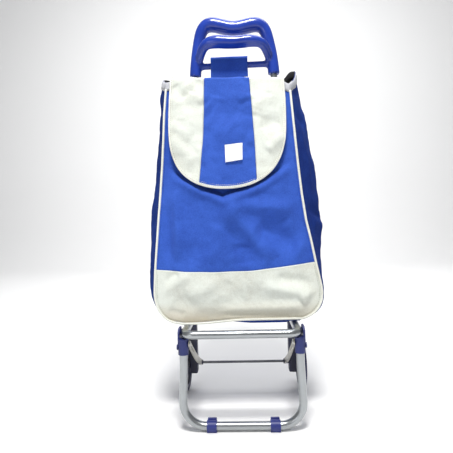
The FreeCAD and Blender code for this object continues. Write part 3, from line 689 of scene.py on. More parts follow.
def gusset(f, b, side):
    v = np.linspace(0, 1, NV)
    P = np.zeros((len(f), NV, 3))
    x = f[:, None, 0] * (1 - v) + b[:, None, 0] * v
    z = f[:, None, 1] * (1 - v) + b[:, None, 1] * v
    uu = 156.8 * (1 - v) + 10.2 * v
    uu = np.broadcast_to(uu, x.shape).copy()
    ff = np.gradient(0.5 * (f + b), axis=0)
    nrm = np.stack([-ff[:, 1], ff[:, 0]], -1)
    nrm /= np.linalg.norm(nrm, axis=1)[:, None]
    if side == "R":
        nrm = np.where((nrm[:, :1] < 0) & (np.abs(nrm[:, :1]) > 0.05), -nrm, nrm)
    prof = np.sin(math.pi * v) ** 0.85
    if side == "bottom":
        bul = np.full(len(f), 3.2)
        nrm = np.tile([0.0, -1.0], (len(f), 1))
    else:
        bul = curve_table(BULGE_R if side == "R" else BULGE_L, 0.5 * (f[:, 1] + b[:, 1]), 14)
        sgn = 1 if side == "R" else -1
        # outward normal
        flip = (nrm[:, 0] * sgn < -0.02) | ((np.abs(nrm[:, 0]) <= 0.02) & (nrm[:, 1] > 0))
        nrm[flip] *= -1
        # the bulge dies out under the bag, where it rests on the shelf
        bul = bul * np.clip(0.12 + np.abs(nrm[:, 0]), 0, 1)
    disp = bul[:, None] * prof[None, :]
    if side == "bottom":
        roll_amp = 9.0 * smooth((f[:, 0] + 60) / 90.0) + 1.5
        disp = disp + roll_amp[:, None] * ((v / 0.10) * np.exp(1 - v / 0.10))[None, :]
    elif side == "R":
        roll_amp = 4.5 * smooth((262 - f[:, 1]) / 50.0)
        disp = disp + roll_amp[:, None] * ((v / 0.10) * np.exp(1 - v / 0.10))[None, :]
    arc = np.concatenate([[0], np.cumsum(np.linalg.norm(np.diff(0.5 * (f + b), axis=0), axis=1))])[:, None] + 0 * v
    uuu = uu
    wr = 0
    if side == "R":
        wr = crease(uuu, z, 150, 632, 96, 600, 13, -6.0) + crease(uuu, z, 96, 600, 40, 640, 16, 3.0)
        wr = wr + crease(uuu, z, 150, 430, 84, 402, 12, -6.0) + crease(uuu, z, 140, 396, 80, 384, 12, 3.5)
        wr = wr + crease(uuu, z, 92, 560, 96, 330, 16, 3.0) + crease(uuu, z, 45, 540, 52, 300, 15, -3.5)
        wr = wr + crease(uuu, z, 128, 640, 124, 460, 10, 2.5) + crease(uuu, z, 60, 700, 80, 640, 14, -3.0)
    elif side == "L":
        wr = crease(uuu, z, 150, 420, 100, 396, 11, -4.5) + crease(uuu, z, 60, 560, 70, 320, 16, -4.0)
        wr = wr + crease(uuu, z, 105, 600, 98, 350, 15, 3.0) + crease(uuu, z, 150, 640, 90, 652, 12, -4.0)
        wr = wr + crease(uuu, z, 40, 700, 90, 640, 14, -3.0)
    seed = {"R": 21, "L": 31, "bottom": 41}[side]
    soft = np.sin(math.pi * v)[None, :]
    wr = wr + (2.2 * vnoise(uuu, arc, 48, seed) + 1.0 * vnoise(uuu, arc, 20, seed + 1) + 0.25 * vnoise(uuu, arc, 8, seed + 2)) * (0.25 if side == "bottom" else 1)
    if side != "bottom":
        wr = wr * np.clip(0.1 + np.abs(nrm[:, 0:1]), 0, 1)
    disp = disp + wr * smooth(soft * 1.6)
    P[..., 0] = x + nrm[:, None, 0] * disp
    P[..., 2] = z + nrm[:, None, 1] * disp
    P[..., 1] = uu
    if side == "bottom":
        # it sags between the side tubes of the shelf and rests on them
        P[..., 2] = np.maximum(P[..., 2], 197.9 - 5.4 * smooth((99.0 - np.abs(P[..., 0])) / 9.0))
    else:
        low = np.abs(P[..., 0]) < 126
        P[..., 2] = np.where(low, np.maximum(P[..., 2], 197.9), P[..., 2])
        P[..., 2] = np.maximum(P[..., 2], 189.0)
    return P


GR, GB, GL = gusset(fr, br, "R"), gusset(np.concatenate([fr[-1:], fb, fl[:1]]), np.concatenate([br[-1:], bb, bl[:1]]), "bottom"), gusset(fl, bl, "L")
# the three pieces share their joining rows
GB[0], GB[-1] = GR[-1], GL[0]
# the sides and bottom take the blue darkened as painted shade
for nm, P, node in (("bag_side_panel_right", GR, "bag_side_right"), ("bag_bottom_panel", GB, "bag_bottom"), ("bag_side_panel_left", GL, "bag_side_left")):
    o = cloth(nm, shell_rows(P), [BLUE_SHADED, LINING], inner=1, rim=0, flip=True, offset=-1.0)
    bag_piece(o, True, node, slot="blue_fabric")

# ------------------------------------------------------------------ back panel
nb_r = 120
zb_ = np.linspace(205.3, RIM_B - 4, nb_r)


def back_half(z):
    wb = [(250, 175), (400, 169), (550, 160), (748, 142)]
    w = curve_table(wb, np.maximum(z, 250), 12)
    k = np.clip((250 - z) / 45.0, 0, 1)
    return w - 45.0 * (1 - np.sqrt(np.clip(1 - k * k, 0, 1)))


SX = np.linspace(-1, 1, 90)
xb = back_half(zb_)[:, None] * SX[None, :]
zz = np.repeat(zb_[:, None], len(SX), 1)
ub = 10.2 + 0.5 * vnoise(xb, zz, 40, 51) * (1 - np.abs(SX[None, :]) ** 6) + 0.4 * vnoise(xb, zz, 15, 52) * (1 - np.abs(SX[None, :]) ** 6)
# the back panel takes the blue darkened as painted shade
o = cloth("bag_back_panel", shell_rows(np.stack([xb, ub, zz], -1)), [BLUE_SHADED, LINING], inner=1, rim=0, flip=True)
bag_piece(o, True, "bag_back", slot="blue_fabric")


# ------------------------------------------------------------------ piping between the front panel and the gusset
def pipe_path():
    full = np.concatenate([fr, fb, fl])
    keep = full[:, 1] < rim_f(full[:, 0]) - HEM_T + 6
    full = full[keep]
    q = resample(full, 2.4)
    u = np.full(len(q), 158.2) + 0.3 * vnoise(q[:, 0], q[:, 1], 22, 61)
    # push the cord half out of the seam
    t = np.gradient(q, axis=0)
    t /= np.linalg.norm(t, axis=1)[:, None]
    n = np.stack([-t[:, 1], t[:, 0]], -1)
    mid = q - np.array([-5, 430])
    sg = np.sign((n * mid).sum(1))
    n *= sg[:, None]
    q2 = q + n * 1.0
    return q2, u, n


pq, pu, pn = pipe_path()
o = tube_mesh("bag_front_piping", W(pq[:, 0], pu + 0.6, pq[:, 1]), 0.0023, [PIPE], seg=12)
bag_piece(o, True, "bag_piping", slot="piping")
inq = pq - pn * 5.0
ok = inq[:, 1] > FZ0 + 3
inq = inq[ok]
sp = W(inq[:, 0], front_u(inq[:, 0], inq[:, 1]) + 0.1, inq[:, 1])
cre = inq[:, 1] < seam_z(inq[:, 0]) - 3
for nm, sel, mt in (("piping_stitches_cream", cre, THREAD_D),):
    o = stitches(nm, sp[sel], np.tile([0, -1.0, 0], (int(sel.sum()), 1)), mt)
    bag_piece(o, True, slot="piping")
upR = (inq[:, 1] > seam_z(inq[:, 0]) + 3) & (inq[:, 0] > 0)
upL = (inq[:, 1] > seam_z(inq[:, 0]) + 3) & (inq[:, 0] < 0)
for nm, sel in (("piping_stitches_right", upR), ("piping_stitches_left", upL)):
    o = stitches(nm, sp[sel], np.tile([0, -1.0, 0], (int(sel.sum()), 1)), THREAD_B)
    bag_piece(o, True, slot="blue_fabric")


# ------------------------------------------------------------------ hem band round the mouth, folded over the edge
def mouth_loop(drop):
    """Points (x, u, z) round the mouth, drop mm below the rim; same count for every drop."""
    out = []
    n1 = 70
    s = np.linspace(0, 1, n1, endpoint=False)
    xf = -135.0 + 244.0 * s
    for _ in range(6):
        zf = rim_f(xf) - drop
        xf = left_x(zf) + (right_x(zf) - left_x(zf)) * s
    out.append(np.stack([xf, front_u(xf, np.maximum(zf, 655.0)), zf], -1))
    n2 = 44
    k = int(round(drop / (RIM_F - FZ0) * 1.0 * NSIDE * 0.9))
    rowR = GR[min(k, len(GR) - 1)]
    out.append(np.stack([rowR[:, 0], rowR[:, 1], rowR[:, 2]], -1)[:-1])
    n3 = 60
    s = np.linspace(0, 1, n3, endpoint=False)
    zb2 = rowR[-1, 2]
    wbx = rowR[-1, 0]
    out.append(np.stack([wbx - 2 * wbx * s, np.full(n3, 10.2), np.full(n3, zb2)], -1))
    rowL = GL[len(GL) - 1 - min(k, len(GL) - 1)]
    out.append(np.stack([rowL[::-1, 0], rowL[::-1, 1], rowL[::-1, 2]], -1)[:-1])
    return np.concatenate(out)


drops = [HEM_T, HEM_T * 0.7, HEM_T * 0.4, HEM_T * 0.12, 0.0]
loops = [mouth_loop(d) for d in drops]
ctr = loops[0].mean(0)
arc = np.concatenate([[0], np.cumsum(np.linalg.norm(np.diff(loops[0], axis=0), axis=1))])
sections = []
for i, (d, lp) in enumerate(zip(drops, loops)):
    t = np.roll(lp, -1, 0) - np.roll(lp, 1, 0)
    n = np.stack([t[:, 1], -t[:, 0]], -1)
    n /= np.linalg.norm(n, axis=1)[:, None] + 1e-9
    sg = np.sign(((lp[:, :2] - ctr[:2]) * n).sum(1))
    n *= sg[:, None]
    off = [1.3, 1.5, 1.6, 1.5, 0.9][i] + 0.9 * np.abs(vnoise(arc, arc * 0 + i * 9, 11, 71)) * (1 if i else 0.3)
    q = lp.copy()
    q[:, :2] += n * off[:, None]
    sections.append(q)
for i, (d, lp) in list(enumerate(zip(drops, loops)))[::-1]:
    t = np.roll(lp, -1, 0) - np.roll(lp, 1, 0)
    n = np.stack([t[:, 1], -t[:, 0]], -1)
    n /= np.linalg.norm(n, axis=1)[:, None] + 1e-9
    sg = np.sign(((lp[:, :2] - ctr[:2]) * n).sum(1))
    n *= sg[:, None]
    q = lp.copy()
    q[:, :2] -= n * ([2.3, 2.4, 2.4, 2.2, 1.0][i])
    sections.append(q)
H = np.stack(sections, 0)
H[..., 2] += rim_warp(H[..., 0], H[..., 1], H[..., 2])
H[..., 2] += 1.3 * vnoise(H[..., 0] + H[..., 1], H[..., 2] * 0, 17, 72)
# keep the rear part of the band in front of the posts
H[..., 1] = np.maximum(H[..., 1], 8.9)
P = W(H[..., 0], H[..., 1], H[..., 2])
faces = grid(P, close_j=True)
m_ = P.shape[1]
n_ = P.shape[0]
for j in range(m_):
    faces.append(((n_ - 1) * m_ + j, (n_ - 1) * m_ + (j + 1) % m_, (j + 1) % m_, j))
hem_mat = [1 if 5 <= k // m_ else 0 for k in range(len(faces))]
o = new_object("bag_mouth_hem", P.reshape(-1, 3), faces, [HEM, LINING], hem_mat, metric_uv(P))
bm_fix(o)
bag_piece(o, True, "bag_hem", slot="hem_fabric")
st = 0.5 * (P[0] + P[1])
tn = np.roll(P[0], -1, 0) - np.roll(P[0], 1, 0)
nn = np.stack([tn[:, 1], -tn[:, 0], 0 * tn[:, 0]], -1)
nn /= np.linalg.norm(nn, axis=1)[:, None] + 1e-9
sg = np.sign(((P[0][:, :2] - P[0].mean(0)[:2]) * nn[:, :2]).sum(1))
nn *= sg[:, None]
o = stitches("hem_stitches", st, nn, THREAD_D, lift=0.0002)
bag_piece(o, True, slot="hem_fabric")

# ------------------------------------------------------------------ the flap: three strips sewn side by side, folded over the mouth
FLX = [(400, -133.2), (600, -133.2), (623, -132.3), (655, -129.8), (689, -127.3), (720, -125.6)]
FRX = [(400, 101.2), (620, 101.2), (641, 100.9), (687, 98.7), (720, 98.4)]
SL_TAB = [(460, -77), (484, -74.8), (568, -65), (628, -61.1), (690, -59.4), (720, -58)]
SR_TAB = [(460, 41), (485, 40.3), (564, 38), (644, 33.4), (690, 30.8), (720, 31)]
FOLD_Z = 696.0
F_R = 5.0                   # radius of the fold over the front edge
FLAP_BASE_U = 165.2


def flap_u(x, z):
    """How far forward the hanging part of the flap stands (mm)."""
    c = (x + 15) / 118.0
    u = 1.5 * (1 - c * c)
    u = u + crease(x, z, -96, 688, -58, 640, 13, 4.0) + crease(x, z, -118, 684, -100, 650, 10, -3.4) + crease(x, z, -70, 690, -86, 660, 9, -3.4)
    u = u + crease(x, z, 8, 694, 26, 640, 15, 3.4) + crease(x, z, 30, 690, 36, 652, 9, -2.6) + crease(x, z, -24, 692, -34, 650, 13, -2.2)
    u = u + crease(x, z, -133, 606, -88, 572, 13, 1.9) + crease(x, z, -130, 578, -84, 520, 15, 2.3) + crease(x, z, -128, 592, -92, 552, 9, -1.3)
    u = u + crease(x, z, 98, 575, 62, 540, 12, 3.0) + crease(x, z, 92, 600, 50, 590, 14, -2.2) + crease(x, z, 60, 660, 40, 610, 16, 2.0)
    u = u + crease(x, z, -50, 640, 0, 600, 26, -3.2) + crease(x, z, -40, 590, 24, 575, 24, 3.0) + crease(x, z, -100, 500, -60, 520, 12, -2.2)
    u = u + crease(x, z, -68, 560, -74, 500, 7, 1.8) + crease(x, z, 30, 560, 36, 500, 8, -1.6)
    u = u + 1.1 * vnoise(x, z, 40, 81) + 0.6 * vnoise(x, z, 17, 82) + 0.15 * vnoise(x, z, 6, 83)
    hang = smooth((FOLD_Z - z) / 60.0)
    u = u * 1.7
    u = u + 2.0 * smooth((560 - z) / 90.0)              # the lower edge stands off the bag a little
    return FLAP_BASE_U + u * (0.35 + 0.65 * hang)


HU = 15.8        # the line where the flap is sewn to the back of the mouth


def seam_back(x):
    return np.minimum(751.2, 748.4 - 0.046 * (np.asarray(x, float) + 127))


def fold_top(x):
    """Height of the fold over the front edge of the mouth."""
    return 697.0 - 8.8 * (np.asarray(x, float) + 127) / 226.0


def flap_low(x):
    """Lower outline of the flap as a height over x, and the same by angle for each half."""
    x = np.asarray(x, float)
    left = x < -20
    a = np.where(left, 113.2, 121.2)
    b = np.where(left, 130.0, 150.0)
    zc = np.where(left, 600.0, 620.0)
    q = np.clip(np.abs(x + 20) / a, 0, 1)
    return zc - b * (1 - q ** 2.2) ** (1 / 3.0)


C_A, C_B, C_N = 44, 104, 150


def flap_columns():
    """Bottom point of every column; columns crowd towards the vertical sides."""
    ph = np.radians(np.linspace(90, 26.9, C_A + 1))
    xl = -20 - 113.2 * np.sin(ph) ** (1 / 1.1)
    ph = np.radians(np.linspace(27.6, 90, C_N - C_B))
    xr = -20 + 121.2 * np.sin(ph) ** (1 / 1.1)
    xc = np.linspace(xl[-1], xr[0], C_B - C_A + 1)
    xb = np.concatenate([xl, xc[1:-1], xr])
    return xb, flap_low(xb)


XB, ZB = flap_columns()
COLS = np.arange(C_N)


def col_x(z):
    """x of every column at height z (an array over the columns)."""
    z = np.broadcast_to(np.asarray(z, float), (C_N,))
    el, er, sl, sr = curve_table(FLX, z), curve_table(FRX, z), curve_table(SL_TAB, z), curve_table(SR_TAB, z)
    el0, er0, sl0, sr0 = curve_table(FLX, ZB), curve_table(FRX, ZB), curve_table(SL_TAB, ZB), curve_table(SR_TAB, ZB)
    fl_, fc_, fr_ = (XB - el0) / (sl0 - el0), (XB - sl0) / (sr0 - sl0), (XB - sr0) / (er0 - sr0)
    fl_ = fl_ / fl_[C_A]
    fr_ = 1 - (1 - fr_) / (1 - fr_[C_B])
    fc_ = (fc_ - fc_[C_A]) / (fc_[C_B] - fc_[C_A])
    x = np.where(COLS <= C_A, el + (sl - el) * fl_, np.where(COLS >= C_B, sr + (er - sr) * fr_, sl + (sr - sl) * fc_))
    return x, sl, sr


NT_ROWS = 46 + 9


def flap_grid():
    rows = []
    nt, nf, nh = 46, 9, 130
    end_u = FLAP_BASE_U - F_R
    x0, sl0, sr0 = col_x(700.0)

    def top_wave(x, u):
        return crease(x, u, -95, 172, -78, 110, 13, 3.0) + crease(x, u, 12, 172, 6, 96, 13, 2.4) - crease(x, u, -66, 172, -60, 120, 12, 2.2) - crease(x, u, 40, 172, 46, 120, 12, 2.0)

    for i in range(nt):
        t = i / nt
        u = HU + (end_u - HU) * t
        x = x0 + 4.5 * (1 - t)
        ft = fold_top(x)
        z = seam_back(x) + (ft - seam_back(x)) * t - 5.0 * math.sin(math.pi * t)
        z = z + (1.2 * vnoise(x, u + 0 * x, 34, 91) + 0.5 * vnoise(x, u + 0 * x, 14, 92)) * math.sin(math.pi * t) ** 0.7
        z = z + top_wave(x, u + 0 * x)
        rows.append(np.stack([x, u + 0 * x, z], -1))
    ft = fold_top(x0)
    for i in range(nf):
        a = math.pi / 2 * (i + 0.5) / nf
        z0 = ft - F_R
        u = end_u + F_R * math.sin(a) + (flap_u(x0, z0) - FLAP_BASE_U) * math.sin(a)
        z = z0 + F_R * math.cos(a) + top_wave(x0, 0 * x0 + 165) * math.cos(a)
        rows.append(np.stack([x0, u, z], -1))
    z1 = ft - F_R
    for i in range(nh):
        t = (i + 1) / nh
        z = z1 + (ZB - z1) * (1 - (1 - t) ** 1.15)
        x, sl, sr = col_x(z)
        x = np.where(i > nh - 2, XB, x)
        rows.append(np.stack([x, flap_u(x, z), z], -1))
    return np.stack(rows, 0)


FG = flap_grid()
for i in range(FG.shape[0]):
    _, sl, sr = col_x(FG[i, :, 2] if i >= NT_ROWS else 700.0)
    off = 0.0 if i >= 46 else 4.5 * (1 - i / 46.0)
    dd = np.minimum(np.abs(FG[i, :, 0] - off - sl), np.abs(FG[i, :, 0] - off - sr))
    ridge = 0.6 * np.exp(-((dd - 2.0) / 1.5) ** 2) - 0.6 * np.exp(-(dd / 0.9) ** 2)
    FG[i, :, 1 if i >= NT_ROWS else 2] += ridge
nt_rows = NT_ROWS
cols_all = C_N
FPW = warp_rows(FG)
strips = (("flap_strip_left", 0, 44, CREAM, "flap_cream_left", "cream_fabric"), ("flap_strip_centre", 44, 104, BLUE, "flap_blue_centre", "blue_fabric"),
          ("flap_strip_right", 104, cols_all - 1, CREAM, "flap_cream_right", "cream_fabric"))


def flap_piece(o, *nodes, slot=None):
    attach(o, "flap")
    if nodes:
        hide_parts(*nodes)
    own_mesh(o)
    return o


for nm, a, b, mt, node, sl_ in strips:
    o = cloth(nm, FPW[:, a:b + 1], [mt, mt], thick=1.4, offset=-1.0, flip=True)
    flap_piece(o, node, slot=sl_)

# binding: tape folded over the edge, down one side, round and up the other
edge = np.concatenate([FG[::1, 0], FG[-1, 1:-1], FG[::-1, -1]])
edge = resample(edge, 2.2)
EW = W(edge[:, 0], edge[:, 1] - 0.7, edge[:, 2])
back_row = FG[0]
t = np.gradient(EW, axis=0)
t /= np.linalg.norm(t, axis=1)[:, None]
# normal of the flap: forward on the hanging part, up on the top part
s_front = smooth((edge[:, 1] - 156) / 8.0)[:, None]
nrm = np.array([0, 0, 1.0]) * (1 - s_front) + np.array([0, -1.0, 0]) * s_front
nrm /= np.linalg.norm(nrm, axis=1)[:, None]
inw = np.cross(nrm, t)
cen = np.array([-0.015, 0, 0.58])
sgn = np.sign(((cen - EW) * inw).sum(1))
inw *= np.median(sgn)
prof = [(-0.3, 1.1), (1.6, 1.35), (4.2, 1.15), (4.5, 0.75), (4.4, 0.2), (4.4, -0.2), (4.5, -0.8), (4.2, -1.2), (1.6, -1.4), (-0.3, -1.1), (-1.0, -0.5), (-1.2, 0.0), (-1.0, 0.5)]
BP = np.stack([EW + inw * (a / 1000.0) + nrm * (b / 1000.0) for a, b in prof], 1)
bf = grid(BP, close_j=True)
K = len(prof)
bf.append(tuple(range(K)))
bf.append(tuple((len(EW) - 1) * K + j for j in range(K))[::-1])
o = new_object("flap_edge_binding", BP.reshape(-1, 3), bf, [PIPE], None, metric_uv(BP))
bm_fix(o)
flap_piece(o, "flap_binding", slot="piping")
for nm, dist, mt in (("binding_stitches", 3.2, THREAD_D), ("flap_edge_topstitch", 7.0, THREAD_L)):
    pth = EW + inw * (dist / 1000.0) + nrm * ((1.45 if dist < 5 else 0.9) / 1000.0)
    o = stitches(nm, pth[6:-6], nrm[6:-6], mt, lift=0.0)
    flap_piece(o, slot="piping")
for nm, ci, sh in (("flap_seam_stitches_left", 44, -2.2), ("flap_seam_stitches_right", 104, 2.2)):
    q = FG[:-8, ci].copy()
    q[:, 0] += sh
    i_f = np.arange(len(q)) >= nt_rows
    nq = np.where(i_f[:, None], np.array([0, -1.0, 0]), np.array([0, 0, 1.0]))
    qq = W(q[:, 0], q[:, 1] + 0.45 * i_f, q[:, 2] + 0.45 * (~i_f))
    o = stitches(nm, qq, nq, THREAD_L)
    flap_piece(o, slot="cream_fabric")

# ------------------------------------------------------------------ blank label patch, sewn at the top and lifting at the bottom
LC = [(-21.7, 556.5), (13.9, 559.1), (12.9, 525.3), (-21.2, 521.5)]
n = 28
s, t = np.meshgrid(np.linspace(0, 1, n), np.linspace(0, 1, n))
lx = (LC[0][0] * (1 - s) + LC[1][0] * s) * (1 - t) + (LC[3][0] * (1 - s) + LC[2][0] * s) * t
lz = (LC[0][1] * (1 - s) + LC[1][1] * s) * (1 - t) + (LC[3][1] * (1 - s) + LC[2][1] * s) * t
base = curve_table([(0, float(flap_u(np.array(-4.0), np.array(540.0))))], 0 * lx)
lu = flap_u(lx, lz) + 0.7 + 3.2 * smooth((t - 0.55) / 0.5) * (0.5 + 0.5 * s) + 0.3 * np.sin(s * math.pi) * (1 - t) + 0.15 * vnoise(lx, lz, 9, 95)
LP = W(lx, lu, lz)
o = cloth("label_blank_patch", LP, [LABEL, LABEL], thick=0.45, offset=0.0, flip=True)
flap_piece(o, "label_patch", slot="label")
e = 0.07
loopst = np.concatenate([np.stack([np.linspace(e, 1 - e, 20), np.full(20, e)], -1), np.stack([np.full(20, 1 - e), np.linspace(e, 0.9, 20)], -1)])
for nm, pth in (("label_stitches_top", [(a, e) for a in np.linspace(e, 1 - e, 24)]), ("label_stitches_left", [(e, a) for a in np.linspace(e, 0.6, 16)]),
                ("label_stitches_right", [(1 - e, a) for a in np.linspace(e, 0.6, 16)])):
    idx = [(min(n - 1, int(round(b * (n - 1)))), min(n - 1, int(round(a * (n - 1))))) for a, b in pth]
    pts = np.array([LP[i, j] for i, j in idx]) + np.array([0, -0.0003, 0])
    o = stitches(nm, resample(pts, 0.0015), np.tile([0, -1.0, 0], (len(resample(pts, 0.0015)), 1)), THREAD_L, pitch=0.003, length=0.002, r=0.00022)
    flap_piece(o, slot="label")

# ------------------------------------------------------------------ hanging loop over the crossbar
prof = [(10.2, 745.0), (10.3, 756), (10.2, 768), (9.6, 780), (8.2, 788.5), (5.6, 794.2), (2.0, 796.6), (-2.2, 796.2), (-5.8, 792.8), (-8.0, 786.5), (-9.3, 777), (-9.2, 768), (-5.5, 760.0),
        (0.5, 754.5), (6.0, 751.0), (8.4, 748.4)]
pf = resample(np.array(prof), 1.6)
cols = 56
S = np.linspace(0, 1, cols)
xx = -56.0 + 88.0 * S
LPP = np.zeros((len(pf), cols, 3))
for i, (u_, z_) in enumerate(pf):
    LPP[i, :, 0] = xx + 0.5 * math.sin(z_ / 9.0) * (S - 0.5)
    LPP[i, :, 1] = u_ + 0.35 * vnoise(xx, 0 * xx + i * 1.6, 24, 97) * (1 if 6 < i < len(pf) - 6 else 0.2)
    LPP[i, :, 2] = z_ + 0.5 * vnoise(xx, 0 * xx + 50, 30, 98) * smooth((z_ - 780) / 10)
o = cloth("hanging_strap", warp_rows(LPP), [BLUE, BLUE], thick=1.3, offset=-1.0, flip=True)
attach(o, "frame")
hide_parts("hanging_loop")
for nm, ci in (("strap_stitches_left", 3), ("strap_stitches_right", cols - 4)):
    q = LPP[2:int(len(pf) * 0.62), ci]
    qw = W(q[:, 0], q[:, 1], q[:, 2])
    tg = np.gradient(qw, axis=0)
    nq = np.stack([0 * tg[:, 0], -tg[:, 2], tg[:, 1]], -1)
    nq /= np.linalg.norm(nq, axis=1)[:, None] + 1e-9
    if nq[2, 1] > 0:
        nq = -nq
    o = stitches(nm, qw + nq * 0.0001, nq, THREAD_B)
    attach(o, "frame")

# ------------------------------------------------------------------ ties round the posts
for side, sg in (("left", -1), ("right", 1)):
    for k, zt in enumerate((600.0, 305.0)):
        px = 119.0 - (119.0 - 93.5) / (752.0 - 215.0) * (zt - 215.0)
        a = np.linspace(math.radians(-42), math.radians(222), 40)
        rr = 8.9
        ring = [(px + (rr + 0.2 * math.sin(9 * b)) * math.cos(b), -(rr) * math.sin(b)) for b in a]
        ring = [(px + 8.6, 9.3), (px + 8.9, 7.0)] + ring[4:-4] + [(px - 8.9, 7.0), (px - 8.6, 9.3)]
        rp = resample(np.array(ring), 1.2)
        zz2 = np.linspace(zt - 12, zt + 12, 14)
        TP = np.zeros((14, len(rp), 3))
        for i, z_ in enumerate(zz2):
            TP[i, :, 0], TP[i, :, 1], TP[i, :, 2] = rp[:, 0], rp[:, 1], z_ + 0.4 * np.sin(np.arange(len(rp)) / 5.0)
        TP[..., 0] *= sg
        # the ties take the blue darkened as painted shade
        o = cloth(f"post_tie_{side}_{k}", warp_rows(TP), [BLUE_SHADED, BLUE_SHADED], thick=1.0, offset=0.0)
        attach(o, "frame")
        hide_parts(f"bag_ties_{side}")

# ------------------------------------------------------------------ handle: one smooth moulding with two grips
def dense(pts, step):
    """Catmull-Rom through points (any number of columns)."""
    p = np.asarray(pts, float)
    p = np.concatenate([2 * p[:1] - p[1:2], p, 2 * p[-1:] - p[-2:-1]])
    out = []
    for i in range(1, len(p) - 2):
        for t in np.linspace(0, 1, 10, endpoint=False):
            a, b, c, d = p[i - 1], p[i], p[i + 1], p[i + 2]
            out.append(0.5 * ((2 * b) + (-a + c) * t + (2 * a - 5 * b + 4 * c - d) * t * t + (-a + 3 * b - 3 * c + d) * t ** 3))
    out.append(p[-2])
    return resample(np.array(out), step)


half = [(94.0, 0, 752, 14.0), (92.3, 0, 772, 14.0), (89.6, 0, 797, 13.8), (86.2, 0, 820, 13.6), (82.6, 0, 839, 13.6), (77.6, 0.3, 856, 14.2),
        (69.5, 0.6, 869.0, 15.2), (58.0, 0.8, 875.0, 16.6), (45.0, 1.0, 875.4, 17.3), (28.0, 1.0, 871.6, 17.2), (12.0, 1.0, 868.2, 17.0), (0.0, 1.0, 867.4, 16.9)]
full = half + [(-x, u, z, r) for x, u, z, r in half[-2::-1]]
d1 = dense(full, 2.5)
h2 = [(85.0, 1, 786, 9.6), (81.5, 11, 793, 10.2), (76.6, 22, 800.5, 10.6), (70.5, 32, 808, 11.3), (62.5, 38.5, 813.3, 12.4), (52.0, 41.5, 816.0, 13.8), (36.0, 42.5, 817.2, 15.0),
      (18.0, 42.0, 816.0, 15.0), (0.0, 41.5, 815.2, 14.6)]
f2 = h2 + [(-x, u, z, r) for x, u, z, r in h2[-2::-1]]
d2 = dense(f2, 2.5)
d3 = dense([(90, 0, 777, 9.4), (80, 0, 777, 9.2), (73, 0, 777, 7.9), (60, 0, 777, 7.5), (0, 0, 777, 7.5), (-60, 0, 777, 7.5), (-73, 0, 777, 7.9), (-80, 0, 777, 9.2), (-90, 0, 777, 9.4)], 3.0)
parts_ = []
for i, d in enumerate((d1, d2, d3)):
    parts_.append(tube_mesh(f"hpart{i}", W(d[:, 0], d[:, 1], d[:, 2]), d[:, 3] / 1000.0, [HANDLE], seg=40))
main = parts_[0]
for p_ in parts_[1:]:
    m = main.modifiers.new("b", "BOOLEAN")
    m.operation = "UNION"
    m.solver = "EXACT"
    m.object = p_
bpy.context.view_layer.update()
apply_mods(main)
for p_ in parts_[1:]:
    BD.objects.remove(p_)
rm = main.modifiers.new("r", "REMESH")
rm.mode = "VOXEL"
rm.voxel_size = 0.0014
rm.use_smooth_shade = True
sm = main.modifiers.new("s", "SMOOTH")
sm.factor = 0.5
sm.iterations = 14
bpy.context.view_layer.update()
apply_mods(main)
# flat ends of the sockets, bored for the posts
import bmesh
for sg in (1, -1):
    bore = tube_mesh("bore", W([sg * 94.2, sg * 92.0], [0, 0], [738, 786]), 0.0083, [NAVY], seg=48)
    m = main.modifiers.new("b", "BOOLEAN")
    m.operation = "DIFFERENCE"
    m.solver = "EXACT"
    m.object = bore
    bpy.context.view_layer.update()
    apply_mods(main)
    BD.objects.remove(bore)
n_v = len(main.data.vertices)
hv = np.empty(n_v * 3)
main.data.vertices.foreach_get("co", hv)
hv = hv.reshape(-1, 3)
hv[:, 2] -= 0.0052 * smooth((hv[:, 0] + 0.075) / 0.15) * smooth((hv[:, 2] - 0.79) / 0.06)
main.data.vertices.foreach_set("co", hv.ravel())
main.data.update()
main.name = "handle_moulding"
for p_ in main.data.polygons:
    p_.use_smooth = True
main.data.materials.clear()
main.data.materials.append(HANDLE)
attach(main, "frame")
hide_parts("handle")
# collars at the socket mouths
for side, sg in (("left", -1), ("right", 1)):
    a = np.linspace(0, 2 * math.pi, 48, endpoint=False)
    ring = W(sg * 93.8 + 10.6 * np.cos(a), 10.6 * np.sin(a), 0 * a + 753.0)
    o = tube_mesh(f"handle_socket_lip_{side}", ring, 0.0021, [HANDLE], seg=10, closed=True)
    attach(o, "frame")

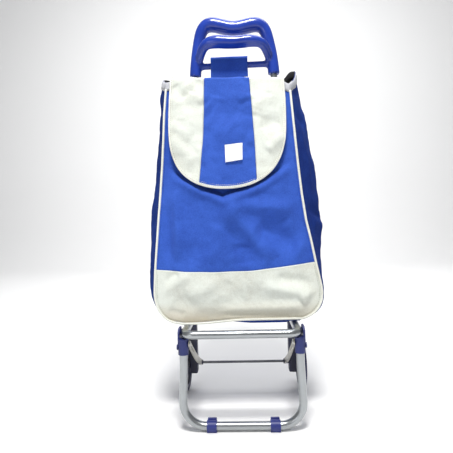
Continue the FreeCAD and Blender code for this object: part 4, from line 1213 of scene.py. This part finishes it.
# ------------------------------------------------------------------ stage, light, camera
def plane(name, x0, x1, y0, y1, col):
    verts, faces = [], []
    prof = [(y0, 0.0), (y1 - 0.9, 0.0)]
    for k in range(1, 17):
        a = math.pi / 2 * k / 16
        prof.append((y1 - 0.9 + 0.9 * math.sin(a), 0.9 - 0.9 * math.cos(a)))
    prof.append((y1, 4.0))
    for y, z in prof:
        verts += [(x0, y, z), (x1, y, z)]
    for i in range(len(prof) - 1):
        faces.append((2 * i, 2 * i + 1, 2 * i + 3, 2 * i + 2))
    M = Mat(name)
    nz = M.n("ShaderNodeTexNoise", Scale=3.0, Detail=2.0)
    M.link(M.ramp(nz.outputs["Fac"], [(0.3, tuple(c * 0.985 for c in col)), (0.7, col)]), M.b.inputs["Base Color"])
    M.b.inputs["Roughness"].default_value = 0.85
    M.b.inputs["Specular IOR Level"].default_value = 0.1
    o = new_object(name, verts, faces, [M.m])
    return o


plane("studio_floor", -6, 6, -3.5, 3.6, (0.93, 0.93, 0.93))


def area(name, loc, target, size, power, col=(1, 1, 1)):
    l = BD.lights.new(name, "AREA")
    l.shape = "RECTANGLE"
    l.size, l.size_y = size
    l.energy = power
    l.color = col
    o = BD.objects.new(name, l)
    o.location = loc
    o.rotation_euler = (Vector(target) - Vector(loc)).to_track_quat("-Z", "Y").to_euler()
    bpy.context.scene.collection.objects.link(o)
    return o


area("key_top_front", (0.0, -1.0, 2.2), (0, 0, 0.5), (0.55, 0.4), 49, (1.0, 0.99, 0.97))
area("fill_front", (-1.2, -2.1, 0.7), (0, 0, 0.4), (1.0, 1.0), 6, (0.97, 0.98, 1.0))
area("top", (0.3, 0.5, 2.5), (0, 0, 0.5), (1.6, 1.2), 18, (0.97, 0.98, 1.0))
area("backdrop_wash", (0.0, 1.2, 2.6), (0, 3.6, 0.9), (3.0, 0.6), 60)
w = BD.worlds.new("studio")
bpy.context.scene.world = w
w.use_nodes = True
w.node_tree.nodes["Background"].inputs[0].default_value = (0.97, 0.98, 1.0, 1)
w.node_tree.nodes["Background"].inputs[1].default_value = 0.30

cam = BD.cameras.new("camera")
cam.sensor_width = 36.0
cam.lens = 32.674
cam.clip_end = 50
co = BD.objects.new("camera", cam)
yaw, pitch, roll = 0.043064, -0.010583, -0.030478
fwd = Vector((-math.sin(yaw) * math.cos(pitch), math.cos(yaw) * math.cos(pitch), math.sin(pitch)))
right = Vector((math.cos(yaw), math.sin(yaw), 0))
upv = right.cross(fwd)
r2 = right * math.cos(roll) + upv * math.sin(roll)
u2 = right * -math.sin(roll) + upv * math.cos(roll)
R = Matrix((r2, u2, -fwd)).transposed()
co.matrix_world = Matrix.Translation((0.01234, -0.91177, 0.40234)) @ R.to_4x4()
bpy.context.scene.collection.objects.link(co)
bpy.context.scene.camera = co
bpy.context.scene.view_settings.view_transform = "Standard"
